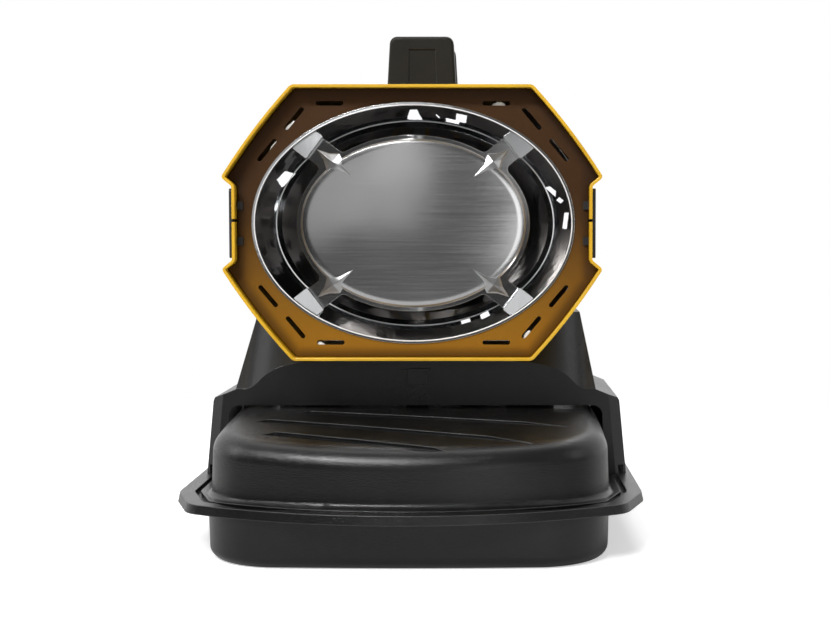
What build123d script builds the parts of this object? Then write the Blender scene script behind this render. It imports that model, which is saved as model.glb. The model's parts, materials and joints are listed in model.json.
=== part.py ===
from build123d import *
import os
from math import atan2, cos, degrees, radians, sin, sqrt, tan

os.makedirs("parts", exist_ok=True)

# A radiant diesel heater. Millimetres. X runs to the viewer's right, Y from the glowing front to the
# fan at the back, and Z up. The origin is on the floor under the middle of the tank.

# General fits
seat_gap = 0.3          # between a piece and the one that carries it
running_gap = 0.05      # radial, between a turning piece and its bearing
sheet = 1.2             # steel sheet of the head

# Fuel tank: a lower tray and an upper dome that meet at a wide flange
tank_length = 560.0
tank_width = 470.0
flange_end_radius = 400.0
flange_corner_across = 23.0
flange_corner_along = 66.0
flange_corner_radius = 32.0
flange_side_radius = 45.0
flange_height = 47.5
tray_flange = 4.5
dome_flange = 4.5
rim_width = 17.0
rim_slope = 2.0
groove_width = 6.0
tank_wall = 3.0
tray_side_inset = 37.5
tray_end_inset = 25.0
tray_end_radius = 2500.0
tray_corner = 75.0
tray_bottom_radius = 12.0
tray_draft = 1.5
dome_side_inset = 35.0
dome_end_inset = 38.0
dome_end_radius = 450.0
dome_corner = 72.0
dome_draft = 2.0
dome_edge_radius = 22.0
dome_foot_radius = 5.0
dome_end_height = 109.0
dome_crest_height = 129.5
rib_depth = 3.2
rib_width = 15.0

# Filler and fuel gauge, on two pads at the back of the dome
fitting_across = 128.0
fitting_back = 196.0
pad_radius = 34.0
pad_height = 121.0
neck_bore = 21.5
neck_wall = 3.0
neck_height = 19.0
neck_flange_radius = 32.0
neck_flange = 3.0
strainer_depth = 68.0
strainer_wall = 1.0
strainer_slots = 10
gasket_thickness = 2.0
cap_radius = 33.0
cap_wall = 4.0
cap_lobes = 16
gauge_radius = 25.0
gauge_height = 12.0
gauge_wall = 2.0
lens_thickness = 2.0
needle_length = 17.0
spindle_radius = 1.0
float_pivot_height = 62.0
float_arm_length = 90.0
float_rest_angle = 25.0
float_radius = 10.0
float_length = 36.0
arm_radius = 1.5
drain_radius = 6.0
drain_height = 22.0
pickup_across = 60.0
pickup_back = 60.0
pickup_tube_radius = 4.0
pickup_foot_gap = 7.0

# Pedestal housing: a moulded saddle that straddles the dome and cradles the head
pedestal_front = -48.0
pedestal_back = 150.0
pedestal_wall = 3.0
skirt_half_width = 228.0
skirt_top_half_width = 220.5
shoulder_height = 138.5
shoulder_inset = 2.0
shoulder_edge = 3.5
trunk_foot_half_width = 194.0
trunk_foot_height = 148.5
trunk_top_half_width = 181.0
trunk_top_height = 228.0
skirt_chamfer = 12.0
arch_height = 131.0
arch_gap = 3.5
arch_corner = 11.0
facet_angle = 47.0
facet_curve = ((-6.0, 0.5), (-17.0, 2.5), (-31.0, 15.0), (-43.0, 22.0), (-57.0, 26.5), (-85.0, 30.0))
cover_thickness = 3.0
vent_slot_across = 162.0
vent_slot_lowest = 152.0
vent_slot_length = 34.0
vent_slot_height = 4.0
vent_slot_pitch = 9.0

# Controls in the rear cover
controls_height = 158.0
knob_across = -62.0
knob_radius = 15.0
knob_height = 14.0
knob_flutes = 18
window_across = -5.0
window_width = 46.0
window_height = 22.0
switch_across = 48.0
switch_width = 21.0
switch_height = 15.0
rocker_angle = 9.0
inlet_across = 92.0
inlet_width = 27.0
inlet_height = 19.5
board_gap = 22.0

# Head: an eight-sided sheet shell in two halves, with a recess down each side
head_height = 326.5
head_front = -113.0
head_back = 262.0
head_half_height = 141.6
head_flat_half = 123.5
head_tip_half = 196.0
head_tip_rise = 47.0
recess_rise = 38.0
recess_half = 185.0
split_height = 329.3
split_gap = 3.0
diagonal_bow = 2.8
bend_radius = 4.0
flat_bend_radius = 8.0
hem_width = 3.2
hem_depth = 9.0
side_window_rise = 24.0
side_window_front = -70.0
side_window_back = 225.0
vent_panel = 3.4
vent_panel_end_gap = 6.0
louvre_count = 14
louvre_width = 5.0

# Front plate, reflector and emitter
plate_recess = 22.0
plate_rim_depth = 14.0
plate_slot_length = 28.7
plate_slot_width = 4.7
flat_slot_across = 86.5
flat_slot_rise = 124.2
corner_slots = ((123.2, 108.4), (151.6, 75.9))
corner_slot_angle = 50.0
mouth_half_width = 165.2
mouth_half_height = 122.5
mouth_lip = 3.0
wall_depth = 38.0
ledge_half_width = 148.0
ledge_half_height = 109.0
ledge_width = 6.0
bowl_half_width = 122.0
bowl_half_height = 94.0
bowl_depth = 78.0
emitter_half_width = 121.5
emitter_half_height = 91.8
emitter_sheet = 1.5
emitter_edge = 4.2
emitter_rise = 2.0
leg_angle = 37.5
leg_width = 26.0
leg_reach = 138.0
leg_fillet = 6.0
ridge_tip = 66.0
ridge_end = 128.0
ridge_shoulder = 105.0
ridge_half_width = 12.0
ridge_waist = 3.2
ridge_rise = 7.0
clamp_length = 29.0
clamp_width = 17.5
clamp_sheet = 1.5
clamp_reach = 138.0

# Combustion chamber and burner, all turned about the head's axis
chamber_radius = 75.0
chamber_front = 18.0
chamber_back = 120.0
chamber_flange = 14.0
shield_radius = 104.0
shield_front = 34.0
spreader_radius = 46.0
spreader_hole_radius = 4.0
cup_radius = 40.0
cup_depth = 26.0
cup_flange_radius = 50.0
holder_radius = 14.0
holder_length = 18.0
nozzle_radius = 8.0
nozzle_length = 12.0
electrode_radius = 3.5
electrode_across = 11.0
electrode_rise = 19.0
sensor_radius = 7.0
sensor_across = -20.0
sensor_drop = 20.0

# Fan, motor and air pump
shroud_front = 146.0
fan_radius = 85.0
fan_tip_gap = 3.0
fan_blades = 5
fan_front = 151.0
fan_depth = 20.0
hub_radius = 18.0
blade_sheet = 1.6
blade_root_pitch = 48.0
blade_tip_pitch = 26.0
shaft_radius = 4.0
bracket_front = 178.0
bracket_sheet = 2.0
motor_radius = 38.0
motor_length = 46.0
pump_radius = 36.0
pump_length = 17.0
pump_bore_radius = 24.0
pump_offset = 2.0
pump_rotor_radius = 21.0
pump_vanes = 4
pump_cover_thickness = 5.0
filter_radius = 27.0
filter_thickness = 7.0
guard_bar = 3.0
guard_rings = 6
guard_spokes = 12
pipe_radius = 3.0
air_pipe_across = 118.0

# Carrying handle on top of the head
handle_front = 103.0
handle_length = 132.0
handle_height = 78.0
handle_foot_half = 41.5
handle_top_half = 37.0
handle_post = 24.0
handle_bar = 22.0
handle_waist = 12.0
handle_corner = 9.0
handle_panel_half = 15.0
handle_panel_depth = 2.0

# Fasteners
screw_radius = 2.0
screw_head_radius = 4.2
screw_head_height = 2.2
screw_length = 9.0
hole_gap = 0.25

# Sizes that follow
flange_top = flange_height + tray_flange + dome_flange
seam_height = flange_height + tray_flange
tray_half = tank_width / 2 - tray_side_inset
tray_end = tank_length / 2 - tray_end_inset
dome_half = tank_width / 2 - dome_side_inset
dome_end = tank_length / 2 - dome_end_inset
head_base = head_height - head_half_height
head_top = head_height + head_half_height
plate_front = head_front + plate_recess
chamber_inner = chamber_radius - sheet
tray_rest_height = dome_crest_height + 3.0


def rise_of_roof():
    """Radius of the dome's roof, an arc from end to end over the crest."""
    rise = dome_crest_height - dome_end_height
    return (dome_end ** 2 + rise ** 2) / (2 * rise)


def roof_height(back):
    """Height of the dome's roof at a distance back from the middle."""
    radius = rise_of_roof()
    return dome_crest_height - radius + sqrt(radius ** 2 - back ** 2)


def across_y(sketch, front, back):
    """A flat outline drawn in X and Z, run from front to back along Y."""
    plane = Plane(origin=(0, back, 0), x_dir=(1, 0, 0), z_dir=(0, -1, 0))
    return extrude(plane * sketch, amount=back - front)


def across_x(sketch, left, right):
    """A flat outline drawn in Y and Z, run from left to right along X."""
    plane = Plane(origin=(left, 0, 0), x_dir=(0, 1, 0), z_dir=(1, 0, 0))
    return extrude(plane * sketch, amount=right - left)


def block(low, high):
    """A plain block between two corners."""
    size = [h - l for l, h in zip(low, high)]
    middle = [(h + l) / 2 for l, h in zip(low, high)]
    return Pos(*middle) * Box(*size)


def outline(*points):
    """A face with straight sides."""
    return make_face(Polyline(*points, close=True))


def turned(profile, along=0.0, across=0.0, height=head_height):
    """Turn a profile of (radius, distance back) about an axis that runs from front to back."""
    body = revolve(Plane.XZ * outline(*profile), Axis.Z)
    return Location((across, along, height), (-90, 0, 0)) * body


def upright(profile, across, back, height=0.0):
    """Turn a profile of (radius, height) about an upright axis."""
    return Location((across, back, height)) * revolve(Plane.XZ * outline(*profile), Axis.Z)


def rod_y(radius, front, back, across=0.0, height=head_height):
    """A round bar from front to back."""
    return turned([(0, front), (radius, front), (radius, back), (0, back)], across=across, height=height)


def pillar(radius, low, high, across, back):
    """A round upright bar."""
    return upright([(0, low), (radius, low), (radius, high), (0, high)], across, back)


def mirrored(*points):
    """The points of one side, then the same points on the other side in turn."""
    return [*points, *[(-x, z) for x, z in reversed(points) if x != 0]]


# The tank

def bow_depth(radius, half_width):
    """How far an arc stands out over its ends."""
    return radius - sqrt(radius ** 2 - half_width ** 2)


def tank_outline(half_width, half_length, end_radius, corner):
    """Plan of the tray or the dome: straight sides, bowed ends and round corners."""
    shoulder = half_length - bow_depth(end_radius, half_width)
    right = Line((half_width, -shoulder), (half_width, shoulder))
    back = ThreePointArc((half_width, shoulder), (0, half_length), (-half_width, shoulder))
    left = Line((-half_width, shoulder), (-half_width, -shoulder))
    front = ThreePointArc((-half_width, -shoulder), (0, -half_length), (half_width, -shoulder))
    plan = make_face(Curve() + [right, back, left, front])
    return fillet(plan.vertices(), corner)


def flange_outline():
    """Plan of the flange: bowed ends and corners cut off at a slant."""
    half, end = tank_width / 2, tank_length / 2
    corner = half - flange_corner_across
    shoulder = end - bow_depth(flange_end_radius, corner)
    side = shoulder - flange_corner_along
    edges = [Line((half, -side), (half, side)), Line((half, side), (corner, shoulder)),
             ThreePointArc((corner, shoulder), (0, end), (-corner, shoulder)),
             Line((-corner, shoulder), (-half, side)), Line((-half, side), (-half, -side)),
             Line((-half, -side), (-corner, -shoulder)),
             ThreePointArc((-corner, -shoulder), (0, -end), (corner, -shoulder)),
             Line((corner, -shoulder), (half, -side))]
    plan = make_face(Curve() + edges)
    plan = fillet(plan.vertices().filter_by(lambda v: abs(abs(v.X) - corner) < 0.01), flange_corner_radius)
    return fillet(plan.vertices().filter_by(lambda v: abs(abs(v.Y) - side) < 0.01), flange_side_radius)


def flange_plate(inset, low, high):
    plan = offset(flange_outline(), amount=-inset, kind=Kind.INTERSECTION)
    return extrude(Plane.XY.offset(low) * plan, amount=high - low)


def flange_rim():
    """The whole flange, its edge a little wider at the bottom."""
    high = flange_top - flange_height
    return extrude(Plane.XY.offset(flange_height) * flange_outline(), amount=high,
                   taper=degrees(atan2(rim_slope, high)))


def tray_body(inset, top):
    """The tray's outer form, or its inside where inset is the wall."""
    lean = (seam_height - inset) * tan(radians(tray_draft))
    shrink = inset + lean
    foot = tank_outline(tray_half - shrink, tray_end - shrink, tray_end_radius, tray_corner - shrink)
    form = extrude(Plane.XY.offset(inset) * foot, amount=top - inset, taper=-tray_draft)
    return fillet(form.edges().group_by(Axis.Z)[0], tray_bottom_radius - inset)


def dome_body(inset, low):
    """The dome's outer form, or its inside where inset is the wall."""
    plan = tank_outline(dome_half - inset, dome_end - inset, dome_end_radius, dome_corner - inset)
    tall = dome_crest_height + 20
    walls = extrude(Plane.XY.offset(low) * plan, amount=tall - low, taper=dome_draft)
    radius = rise_of_roof() - inset
    roof = Pos(0, dome_crest_height - inset - radius) * Circle(radius)
    form = walls & across_x(roof, -tank_width, tank_width)
    top_edges = form.edges().filter_by(lambda edge: edge.center().Z > dome_end_height - inset - 4)
    return fillet(top_edges, dome_edge_radius - inset)


def rib_cut(start, end, depth):
    """A slanting wedge pressed into the roof: deep where it starts, fading out towards its far end."""
    (x0, y0), (x1, y1) = start, end
    length = sqrt((x1 - x0) ** 2 + (y1 - y0) ** 2)
    turn = degrees(atan2(y1 - y0, x1 - x0))
    z0, z1 = roof_height(y0), roof_height(y1)
    wedge = outline((0, 0), (length, 0), (length * 0.82, rib_width * 0.8), (rib_width * 0.6, rib_width))
    body = extrude(wedge, amount=2 * dome_edge_radius)
    lean = degrees(atan2(z1 - z0 + depth * 0.85, length))
    return Location((x0, y0, z0 - depth), (0, 0, turn)) * Location((0, 0, 0), (0, -lean, 0)) * \
        Location((0, 0, 0), (-4.0, 0, 0)) * body


rib_lines = (((-123.0, -83.0), (160.0, -150.0)),
             ((-162.0, -127.0), (125.0, -212.0)),
             ((-146.0, -181.0), (60.0, -246.0)))


def tank_lower():
    rim = flange_rim() - flange_plate(rim_width, seam_height, flange_top + 1)
    body = tray_body(0, seam_height) + rim - tray_body(tank_wall, flange_top)
    drain_y = tray_end
    boss = rod_y(drain_radius + 5, drain_y - 14, drain_y + 2, 0, drain_height)
    hole = rod_y(drain_radius + hole_gap, drain_y - 30, drain_y + 10, 0, drain_height)
    return body + (boss - rod_y(60, drain_y - 30, drain_y - 14, 0, drain_height)) - hole


def tank_upper():
    flange = flange_plate(rim_width + groove_width, seam_height, flange_top)
    dome = dome_body(0, seam_height)
    for side in (-1, 1):
        dome += pillar(pad_radius, pad_height - 16, pad_height, side * fitting_across, fitting_back)
    dome += pillar(16, roof_height(pickup_back) - 8, dome_crest_height + 2, pickup_across, pickup_back)
    for across in (-110, 0, 110):
        dome += block((across - 12, -20, dome_crest_height - 6), (across + 12, 20, tray_rest_height))
    body = flange + dome
    ledge = body.faces().filter_by(lambda face: abs(face.center().Z - flange_top) < 0.01)[0]
    body = fillet(ledge.inner_wires()[0].edges(), dome_foot_radius)
    inside = dome_body(tank_wall, seam_height - 1)
    for start, end in rib_lines:
        body -= rib_cut(start, end, rib_depth)
        inside -= rib_cut(start, end, rib_depth + tank_wall)
    body -= inside
    body -= pillar(neck_bore + neck_wall + hole_gap, 80, 140, fitting_across, fitting_back)
    body -= pillar(7, 80, 140, -fitting_across, fitting_back)
    body -= pillar(pickup_tube_radius + hole_gap, 80, 140, pickup_across, pickup_back)
    return body


def filler_neck():
    outer = neck_bore + neck_wall
    low, high = pad_height - 12, pad_height + neck_height
    profile = [(neck_bore, low), (outer, low), (outer, pad_height), (neck_flange_radius, pad_height),
               (neck_flange_radius, pad_height + neck_flange), (outer, pad_height + neck_flange),
               (outer, high), (neck_bore, high)]
    return upright(profile, fitting_across, fitting_back)


def strainer():
    top = pad_height + neck_height
    outer = neck_bore - seat_gap
    inner = outer - strainer_wall
    low = top - strainer_depth
    lip = neck_bore + neck_wall - 0.4
    profile = [(0, low), (outer, low), (outer, top), (lip, top), (lip, top + strainer_wall),
               (inner, top + strainer_wall), (inner, low + strainer_wall), (0, low + strainer_wall)]
    cup = upright(profile, fitting_across, fitting_back)
    slot = block((inner - 3, -2, low + 8), (outer + 3, 2, pad_height - 18))
    for index in range(strainer_slots):
        cup -= Location((fitting_across, fitting_back, 0), (0, 0, index * 360 / strainer_slots)) * slot
    return cup


def cap_gasket():
    low = pad_height + neck_height + strainer_wall + seat_gap
    outer = neck_bore + neck_wall - 0.3
    profile = [(neck_bore - 4, low), (outer, low), (outer, low + gasket_thickness),
               (neck_bore - 4, low + gasket_thickness)]
    return upright(profile, fitting_across, fitting_back)


def fuel_cap():
    low = pad_height + neck_flange + 1.0
    inside_top = pad_height + neck_height + strainer_wall + 2 * seat_gap + gasket_thickness
    bore = neck_bore + neck_wall + running_gap
    top = inside_top + cap_wall
    profile = [(bore, low), (cap_radius - 1.5, low), (cap_radius, low + 1.5), (cap_radius, top - 3),
               (cap_radius - 3, top), (cap_radius - 10, top), (cap_radius - 11, top - 1.2), (0, top - 1.2),
               (0, inside_top), (bore, inside_top)]
    cap = upright(profile, fitting_across, fitting_back)
    flute = pillar(2.2, low - 1, top - 4, cap_radius + 1.0, 0)
    for index in range(cap_lobes):
        cap -= Location((fitting_across, fitting_back, 0), (0, 0, index * 360 / cap_lobes)) * flute
    return cap


gauge_floor = pad_height + 4.0
gauge_top = pad_height + gauge_height


def gauge_body():
    inner = gauge_radius - gauge_wall
    profile = [(0, pad_height), (neck_flange_radius, pad_height), (neck_flange_radius, pad_height + 2.5),
               (gauge_radius, pad_height + 2.5), (gauge_radius, gauge_top), (inner, gauge_top),
               (inner, gauge_floor), (spindle_radius, gauge_floor), (spindle_radius, gauge_floor + 4),
               (0, gauge_floor + 4)]
    body = upright(profile, -fitting_across, fitting_back)
    body += pillar(4, float_pivot_height + 6, pad_height, -fitting_across, fitting_back)
    fork = block((-5, -6, float_pivot_height - 6), (5, 6, float_pivot_height + 8))
    fork -= block((-6, -2.6, float_pivot_height - 7), (6, 2.6, float_pivot_height + 5))
    body += Pos(-fitting_across, fitting_back, 0) * fork
    return body + rod_y(spindle_radius + 0.5, fitting_back - 6, fitting_back + 6, -fitting_across,
                        float_pivot_height)


def gauge_lens():
    lens = [(0, gauge_top), (gauge_radius, gauge_top), (gauge_radius - 1, gauge_top + lens_thickness),
            (0, gauge_top + lens_thickness)]
    return upright(lens, -fitting_across, fitting_back)


def gauge_needle():
    low = gauge_floor + 1.0
    hub = upright([(spindle_radius + running_gap, low), (3, low), (3, low + 1.6),
                   (spindle_radius + running_gap, low + 1.6)], 0, 0)
    hand = outline((2.6, -1.5), (needle_length, -0.4), (needle_length, 0.4), (2.6, 1.5))
    pointer = extrude(Plane.XY.offset(low) * hand, amount=1.0)
    return Pos(-fitting_across, fitting_back, 0) * (hub + pointer)


def float_place():
    return Location((-fitting_across, fitting_back, float_pivot_height), (0, float_rest_angle, 0))


def float_arm():
    eye = rod_y(4.0, -2.2, 2.2, 0, 0) - rod_y(spindle_radius + 0.5 + running_gap, -3, 3, 0, 0)
    reach = float_arm_length - float_radius - 3.0 - seat_gap
    arm = Location((3.0, 0, 0), (0, 90, 0)) * Cylinder(arm_radius, reach,
                                                       align=(Align.CENTER, Align.CENTER, Align.MIN))
    return float_place() * (eye + arm)


def gauge_float():
    body = Rot(90, 0, 0) * Cylinder(float_radius, float_length)
    body = fillet(body.edges(), 3.0)
    return float_place() * (Pos(float_arm_length, 0, 0) * body)


def drain_plug():
    face = tray_end + 2 + seat_gap
    shank = rod_y(drain_radius, tray_end - 12, face, 0, drain_height)
    washer = rod_y(drain_radius + 4.5, face, face + 2, 0, drain_height)
    head = across_y(Pos(0, drain_height) * RegularPolygon(9.5, 6), face + 2, face + 9)
    return shank + washer + head


def fuel_pickup():
    top = dome_crest_height + 2
    tube = pillar(pickup_tube_radius, tank_wall + pickup_foot_gap, top + 12, pickup_across, pickup_back)
    collar = pillar(12, top, top + 4, pickup_across, pickup_back)
    low = tank_wall + pickup_foot_gap
    foot = pillar(9, low, low + 12, pickup_across, pickup_back)
    return tube + collar + foot


# The head's eight-sided outline, shared by the shell, the plates and the pedestal's cradle

def head_outline(grow=0.0):
    """The shell's outer face, seen from the front and moved outwards by grow."""
    quarter = [(recess_half, recess_rise), (head_tip_half, head_tip_rise), (head_flat_half, head_half_height)]
    upper = quarter + [(-x, z) for x, z in reversed(quarter)]
    ring = upper + [(-x, -z) for x, z in upper]
    edges = []
    for start, end in zip(ring, ring[1:] + ring[:1]):
        diagonal = {abs(start[0]), abs(end[0])} == {head_tip_half, head_flat_half}
        edges.append(bowed_edge(start, end) if diagonal else Line(start, end))
    face = make_face(Curve() + edges)
    at_flats = face.vertices().filter_by(lambda v: abs(abs(v.Y) - head_half_height) < 0.01)
    face = fillet(at_flats, flat_bend_radius)
    at_recess = face.vertices().filter_by(lambda v: abs(v.Y) < head_tip_rise + 0.01)
    face = fillet(at_recess, bend_radius)
    if grow:
        face = offset(face, amount=grow, kind=Kind.INTERSECTION)
    return Pos(0, head_height) * face


def bowed_edge(start, end):
    """A diagonal of the head, which bulges a little."""
    (x0, z0), (x1, z1) = start, end
    length = sqrt((x1 - x0) ** 2 + (z1 - z0) ** 2)
    bow = diagonal_bow / length
    middle = ((x0 + x1) / 2 + (z1 - z0) * bow, (z0 + z1) / 2 - (x1 - x0) * bow)
    return ThreePointArc(start, middle, end)


def shell_ring(front, back, thick):
    return across_y(head_outline(), front, back) - across_y(head_outline(-thick), front, back)


def shell_whole():
    """Both halves of the shell in one, with the hemmed front edge and the side windows."""
    shell = shell_ring(head_front, head_back, sheet)
    hem = shell_ring(head_front, head_front + hem_depth, hem_width)
    front_edges = hem.edges().filter_by(lambda edge: abs(edge.center().Y - head_front) < 0.01)
    shell += fillet(front_edges, 1.2)
    shell -= block((-head_tip_half - 5, side_window_front, head_height - side_window_rise),
                   (head_tip_half + 5, side_window_back, head_height + side_window_rise))
    return shell


def shell_holes():
    """Clearance holes of the handle, vent and guard screws, and of the fuel pipe."""
    holes = []
    for across, back in handle_screw_places():
        holes.append(pillar(screw_radius + hole_gap, head_top - 4, head_top + 2, across, back))
    for side in (-1, 1):
        for back, height in vent_screw_places():
            place = Location((side * recess_half, back, height), (0, 90, 0))
            holes.append(place * Cylinder(screw_radius + hole_gap, 12))
    holes.append(pillar(pipe_radius + 2, head_base - 3, head_base + 5, pickup_across, pickup_back))
    return holes


def shell_half(upper):
    low = split_height + split_gap / 2 if upper else 0
    high = 2 * head_height if upper else split_height - split_gap / 2
    half = shell_whole() & block((-300, -300, low), (300, 400, high))
    for hole in shell_holes():
        half -= hole
    return half


def vent_screw_places():
    """Back and height of the four screws of each side vent panel."""
    rise = recess_rise - 7
    backs = (plate_front + plate_rim_depth + 9, head_back - 18)
    return [(back, head_height + up) for back in backs for up in (-rise, rise)]


def handle_screw_places():
    """Across and back of the handle's four screws."""
    backs = (handle_front + handle_post / 2, handle_front + handle_length - handle_post / 2)
    return [(across, back) for across in (-22, 22) for back in backs]


def side_vent(side):
    """A black louvred panel in the recess of one side."""
    low, high = recess_half + seat_gap, recess_half + seat_gap + vent_panel
    rise = recess_rise - 0.55 * bend_radius
    front, back = head_front + vent_panel_end_gap, head_back - 2
    panel = block((low, front, head_height - rise), (high, back, head_height + rise))
    panel = fillet(panel.edges().filter_by(Axis.X), 3)
    first, last = side_window_front + 10, side_window_back - 10
    pitch = (last - first) / (louvre_count - 1)
    for index in range(louvre_count):
        slot = SlotOverall(2 * side_window_rise - 6, louvre_width, rotation=90)
        cutter = across_x(Pos(first + index * pitch, head_height) * slot, low - 1, high + 1)
        panel -= cutter
    for back_at, height in vent_screw_places():
        panel -= Location((recess_half, back_at, height), (0, 90, 0)) * Cylinder(screw_radius + hole_gap, 20)
    return panel if side > 0 else mirror(panel, Plane.YZ)


def screw(direction, length=screw_length):
    """A pan-head screw with a cross slot, its head's seat at the origin and its shank pointing down."""
    head = upright([(0, 0), (screw_head_radius, 0), (screw_head_radius, screw_head_height * 0.45),
                    (screw_head_radius * 0.7, screw_head_height), (0, screw_head_height)], 0, 0)
    shank = pillar(screw_radius, -length, 0, 0, 0)
    slot = block((-2.4, -0.45, screw_head_height - 0.9), (2.4, 0.45, screw_head_height + 1))
    return Location((0, 0, 0), direction) * (head + shank - slot - Rot(0, 0, 90) * slot)


def side_screws():
    group = Part()
    face = recess_half + seat_gap + vent_panel + 0.02
    for side, turn in ((1, (0, 90, 0)), (-1, (0, -90, 0))):
        for back, height in vent_screw_places():
            group += Pos(side * face, back, height) * screw(turn)
    return group


# The pedestal

def pedestal_shape(inset):
    """The housing's outline from the front, made smaller by inset: skirt, shoulder and trunk."""
    shape = outline(*mirrored((skirt_half_width, flange_top),
                              (skirt_top_half_width, shoulder_height - shoulder_edge),
                              (skirt_top_half_width - shoulder_inset, shoulder_height),
                              (trunk_foot_half_width, trunk_foot_height),
                              (trunk_top_half_width, trunk_top_height)))
    return offset(shape, amount=-inset, kind=Kind.INTERSECTION) if inset else shape


def pedestal_block(inset, front, back):
    """The housing's outer form, or its inside where inset is the wall."""
    form = across_y(pedestal_shape(inset), front, back)
    if inset:
        foot = Pos(0, flange_top + inset) * Rectangle(2 * (skirt_half_width - inset) - 1, 4 * inset)
        form += across_y(foot, front, back)
    form = pedestal_edges(form, inset, front)
    form -= across_y(head_outline(seat_gap + inset), front - 1, back + 1)
    for side in (-1, 1):
        form -= facet_cutter(side, inset)
    return form


def pedestal_edges(form, inset, front):
    """Bevels on the two upright front corners of the skirt."""
    corner = form.edges().filter_by(lambda edge: abs(edge.center().Y - front) < 0.01
                                    and abs(edge.center().X) > skirt_top_half_width - inset - 4
                                    and flange_top + 8 < edge.center().Z < shoulder_height - 12
                                    and edge.length > 30)
    return chamfer(corner, skirt_chamfer)


def facet_cutter(side, inset):
    """The slanting face that leads back from an S-curve on the front of the pedestal to its side wall."""
    foot, height = trunk_foot_half_width, trunk_foot_height
    points = [(foot + across, height + up) for across, up in facet_curve]
    start = (foot + 60, height)
    last_across, top = points[-1][0], 600
    edges = [Line(start, points[0]), Spline(*points), Line(points[-1], (last_across, top)),
             Line((last_across, top), (start[0], top)), Line((start[0], top), start)]
    slope = radians(facet_angle)
    reach, shift = 20, 1.2 * inset
    plane = Plane(origin=(0, pedestal_front - reach * cos(slope) + shift * sin(slope),
                          -reach * sin(slope) - shift * cos(slope)), x_dir=(1, 0, 0), z_dir=(0, -1, 0))
    space = extrude(plane * make_face(Curve() + edges), amount=400, dir=(0, cos(slope), sin(slope)))
    return space if side > 0 else mirror(space, Plane.YZ)


def arch_cut(front, back):
    """Opening in an end wall that lets the dome through."""
    half = dome_half + arch_gap
    top_half = half - (arch_height - flange_top) * tan(radians(dome_draft))
    foot = half + dome_foot_radius
    shape = outline((-foot, flange_top - 20), (foot, flange_top - 20), (foot, flange_top),
                    (half, flange_top + dome_foot_radius), (top_half, arch_height),
                    (-top_half, arch_height), (-half, flange_top + dome_foot_radius), (-foot, flange_top))
    shape = fillet(shape.vertices().group_by(Axis.Y)[-1], arch_corner)
    return across_y(shape, front, back)


def pedestal_housing():
    body = pedestal_block(0, pedestal_front, pedestal_back)
    body -= pedestal_block(pedestal_wall, pedestal_front + pedestal_wall, pedestal_back + 5)
    body -= pillar(pipe_radius + 2, head_base - 6, head_base + 5, pickup_across, pickup_back)
    return body - arch_cut(pedestal_front - 5, pedestal_front + pedestal_wall + 5)


def rear_cover():
    """Closes the back of the pedestal and carries the controls."""
    front, back = pedestal_back - cover_thickness, pedestal_back
    shape_inset = pedestal_wall + seat_gap
    cover = across_y(pedestal_shape(shape_inset), front, back) - arch_cut(front - 5, back + 5)
    cover -= across_y(head_outline(shape_inset), front - 1, back + 1)
    cover -= across_y(Pos(window_across, controls_height) * Rectangle(window_width - 4, window_height - 4),
                      front - 1, back + 1)
    cover -= across_y(Pos(switch_across, controls_height) * Rectangle(switch_width, switch_height), front - 1,
                      back + 1)
    cover -= across_y(Pos(inlet_across, controls_height) * Rectangle(inlet_width, inlet_height), front - 1,
                      back + 1)
    cover -= rod_y(3.6, front - 1, back + 1, knob_across, controls_height)
    for side in (-1, 1):
        for index in range(4):
            at = (side * vent_slot_across, vent_slot_lowest + index * vent_slot_pitch)
            cover -= across_y(Pos(*at) * SlotOverall(vent_slot_length, vent_slot_height), front - 1, back + 1)
    for across, height in cover_screw_places():
        cover -= rod_y(screw_radius + hole_gap, front - 1, back + 1, across, height)
    return cover


cover_screws_right = ((122, 141), (172, 205), (213, 80))


def cover_screw_places():
    return [(side * across, height) for side in (-1, 1) for across, height in cover_screws_right]


def cover_screws():
    group = Part()
    for across, height in cover_screw_places():
        group += Pos(across, pedestal_back + 0.02, height) * screw((-90, 0, 0))
    return group


def chassis_tray():
    """Steel tray across the dome's rests that carries the electrical parts."""
    low = tray_rest_height
    half, front, back = 150, pedestal_front + pedestal_wall + 4, pedestal_back - cover_thickness - 26
    tray = block((-half, front, low), (half, back, low + sheet))
    for side in (-1, 1):
        wall = block((half - sheet, front, low), (half, back, low + 14))
        tray += wall if side > 0 else mirror(wall, Plane.YZ)
    return tray - pillar(16, low - 5, low + 5, pickup_across, pickup_back)


def ignition_transformer():
    low = tray_rest_height + sheet
    core = block((-95, -20, low), (-35, 40, low + 34))
    core = fillet(core.edges().filter_by(Axis.Z), 4)
    for across in (-80, -50):
        core += pillar(6, low + 30, low + 42, across, 25)
    return core


def control_board():
    back = pedestal_back - cover_thickness - board_gap
    board = block((-110, back - 1.6, 140), (125, back, 177))
    for across, wide, high, deep in ((-90, 18, 14, 9), (-40, 26, 18, 12), (20, 16, 24, 10), (70, 30, 14, 16)):
        board += block((across, back - 1.6 - deep, 146), (across + wide, back - 1.6, 146 + high))
    for across in (-100, 115):
        for height in (144, 173):
            board += rod_y(3, back, pedestal_back - cover_thickness, across, height)
    return board


def display_window():
    face = pedestal_back
    frame = across_y(Pos(window_across, controls_height) * Rectangle(window_width, window_height), face,
                     face + 1.5)
    frame = fillet(frame.edges().filter_by(Axis.Y), 2)
    return frame + across_y(Pos(window_across, controls_height)
                            * Rectangle(window_width - 4 - 2 * seat_gap, window_height - 4 - 2 * seat_gap),
                            face - cover_thickness, face)


def thermostat_pot():
    back = pedestal_back - cover_thickness
    can = rod_y(8.5, back - 10, back, knob_across, controls_height)
    return can - rod_y(3.0 + running_gap, back - 9, back + 1, knob_across, controls_height)


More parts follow.
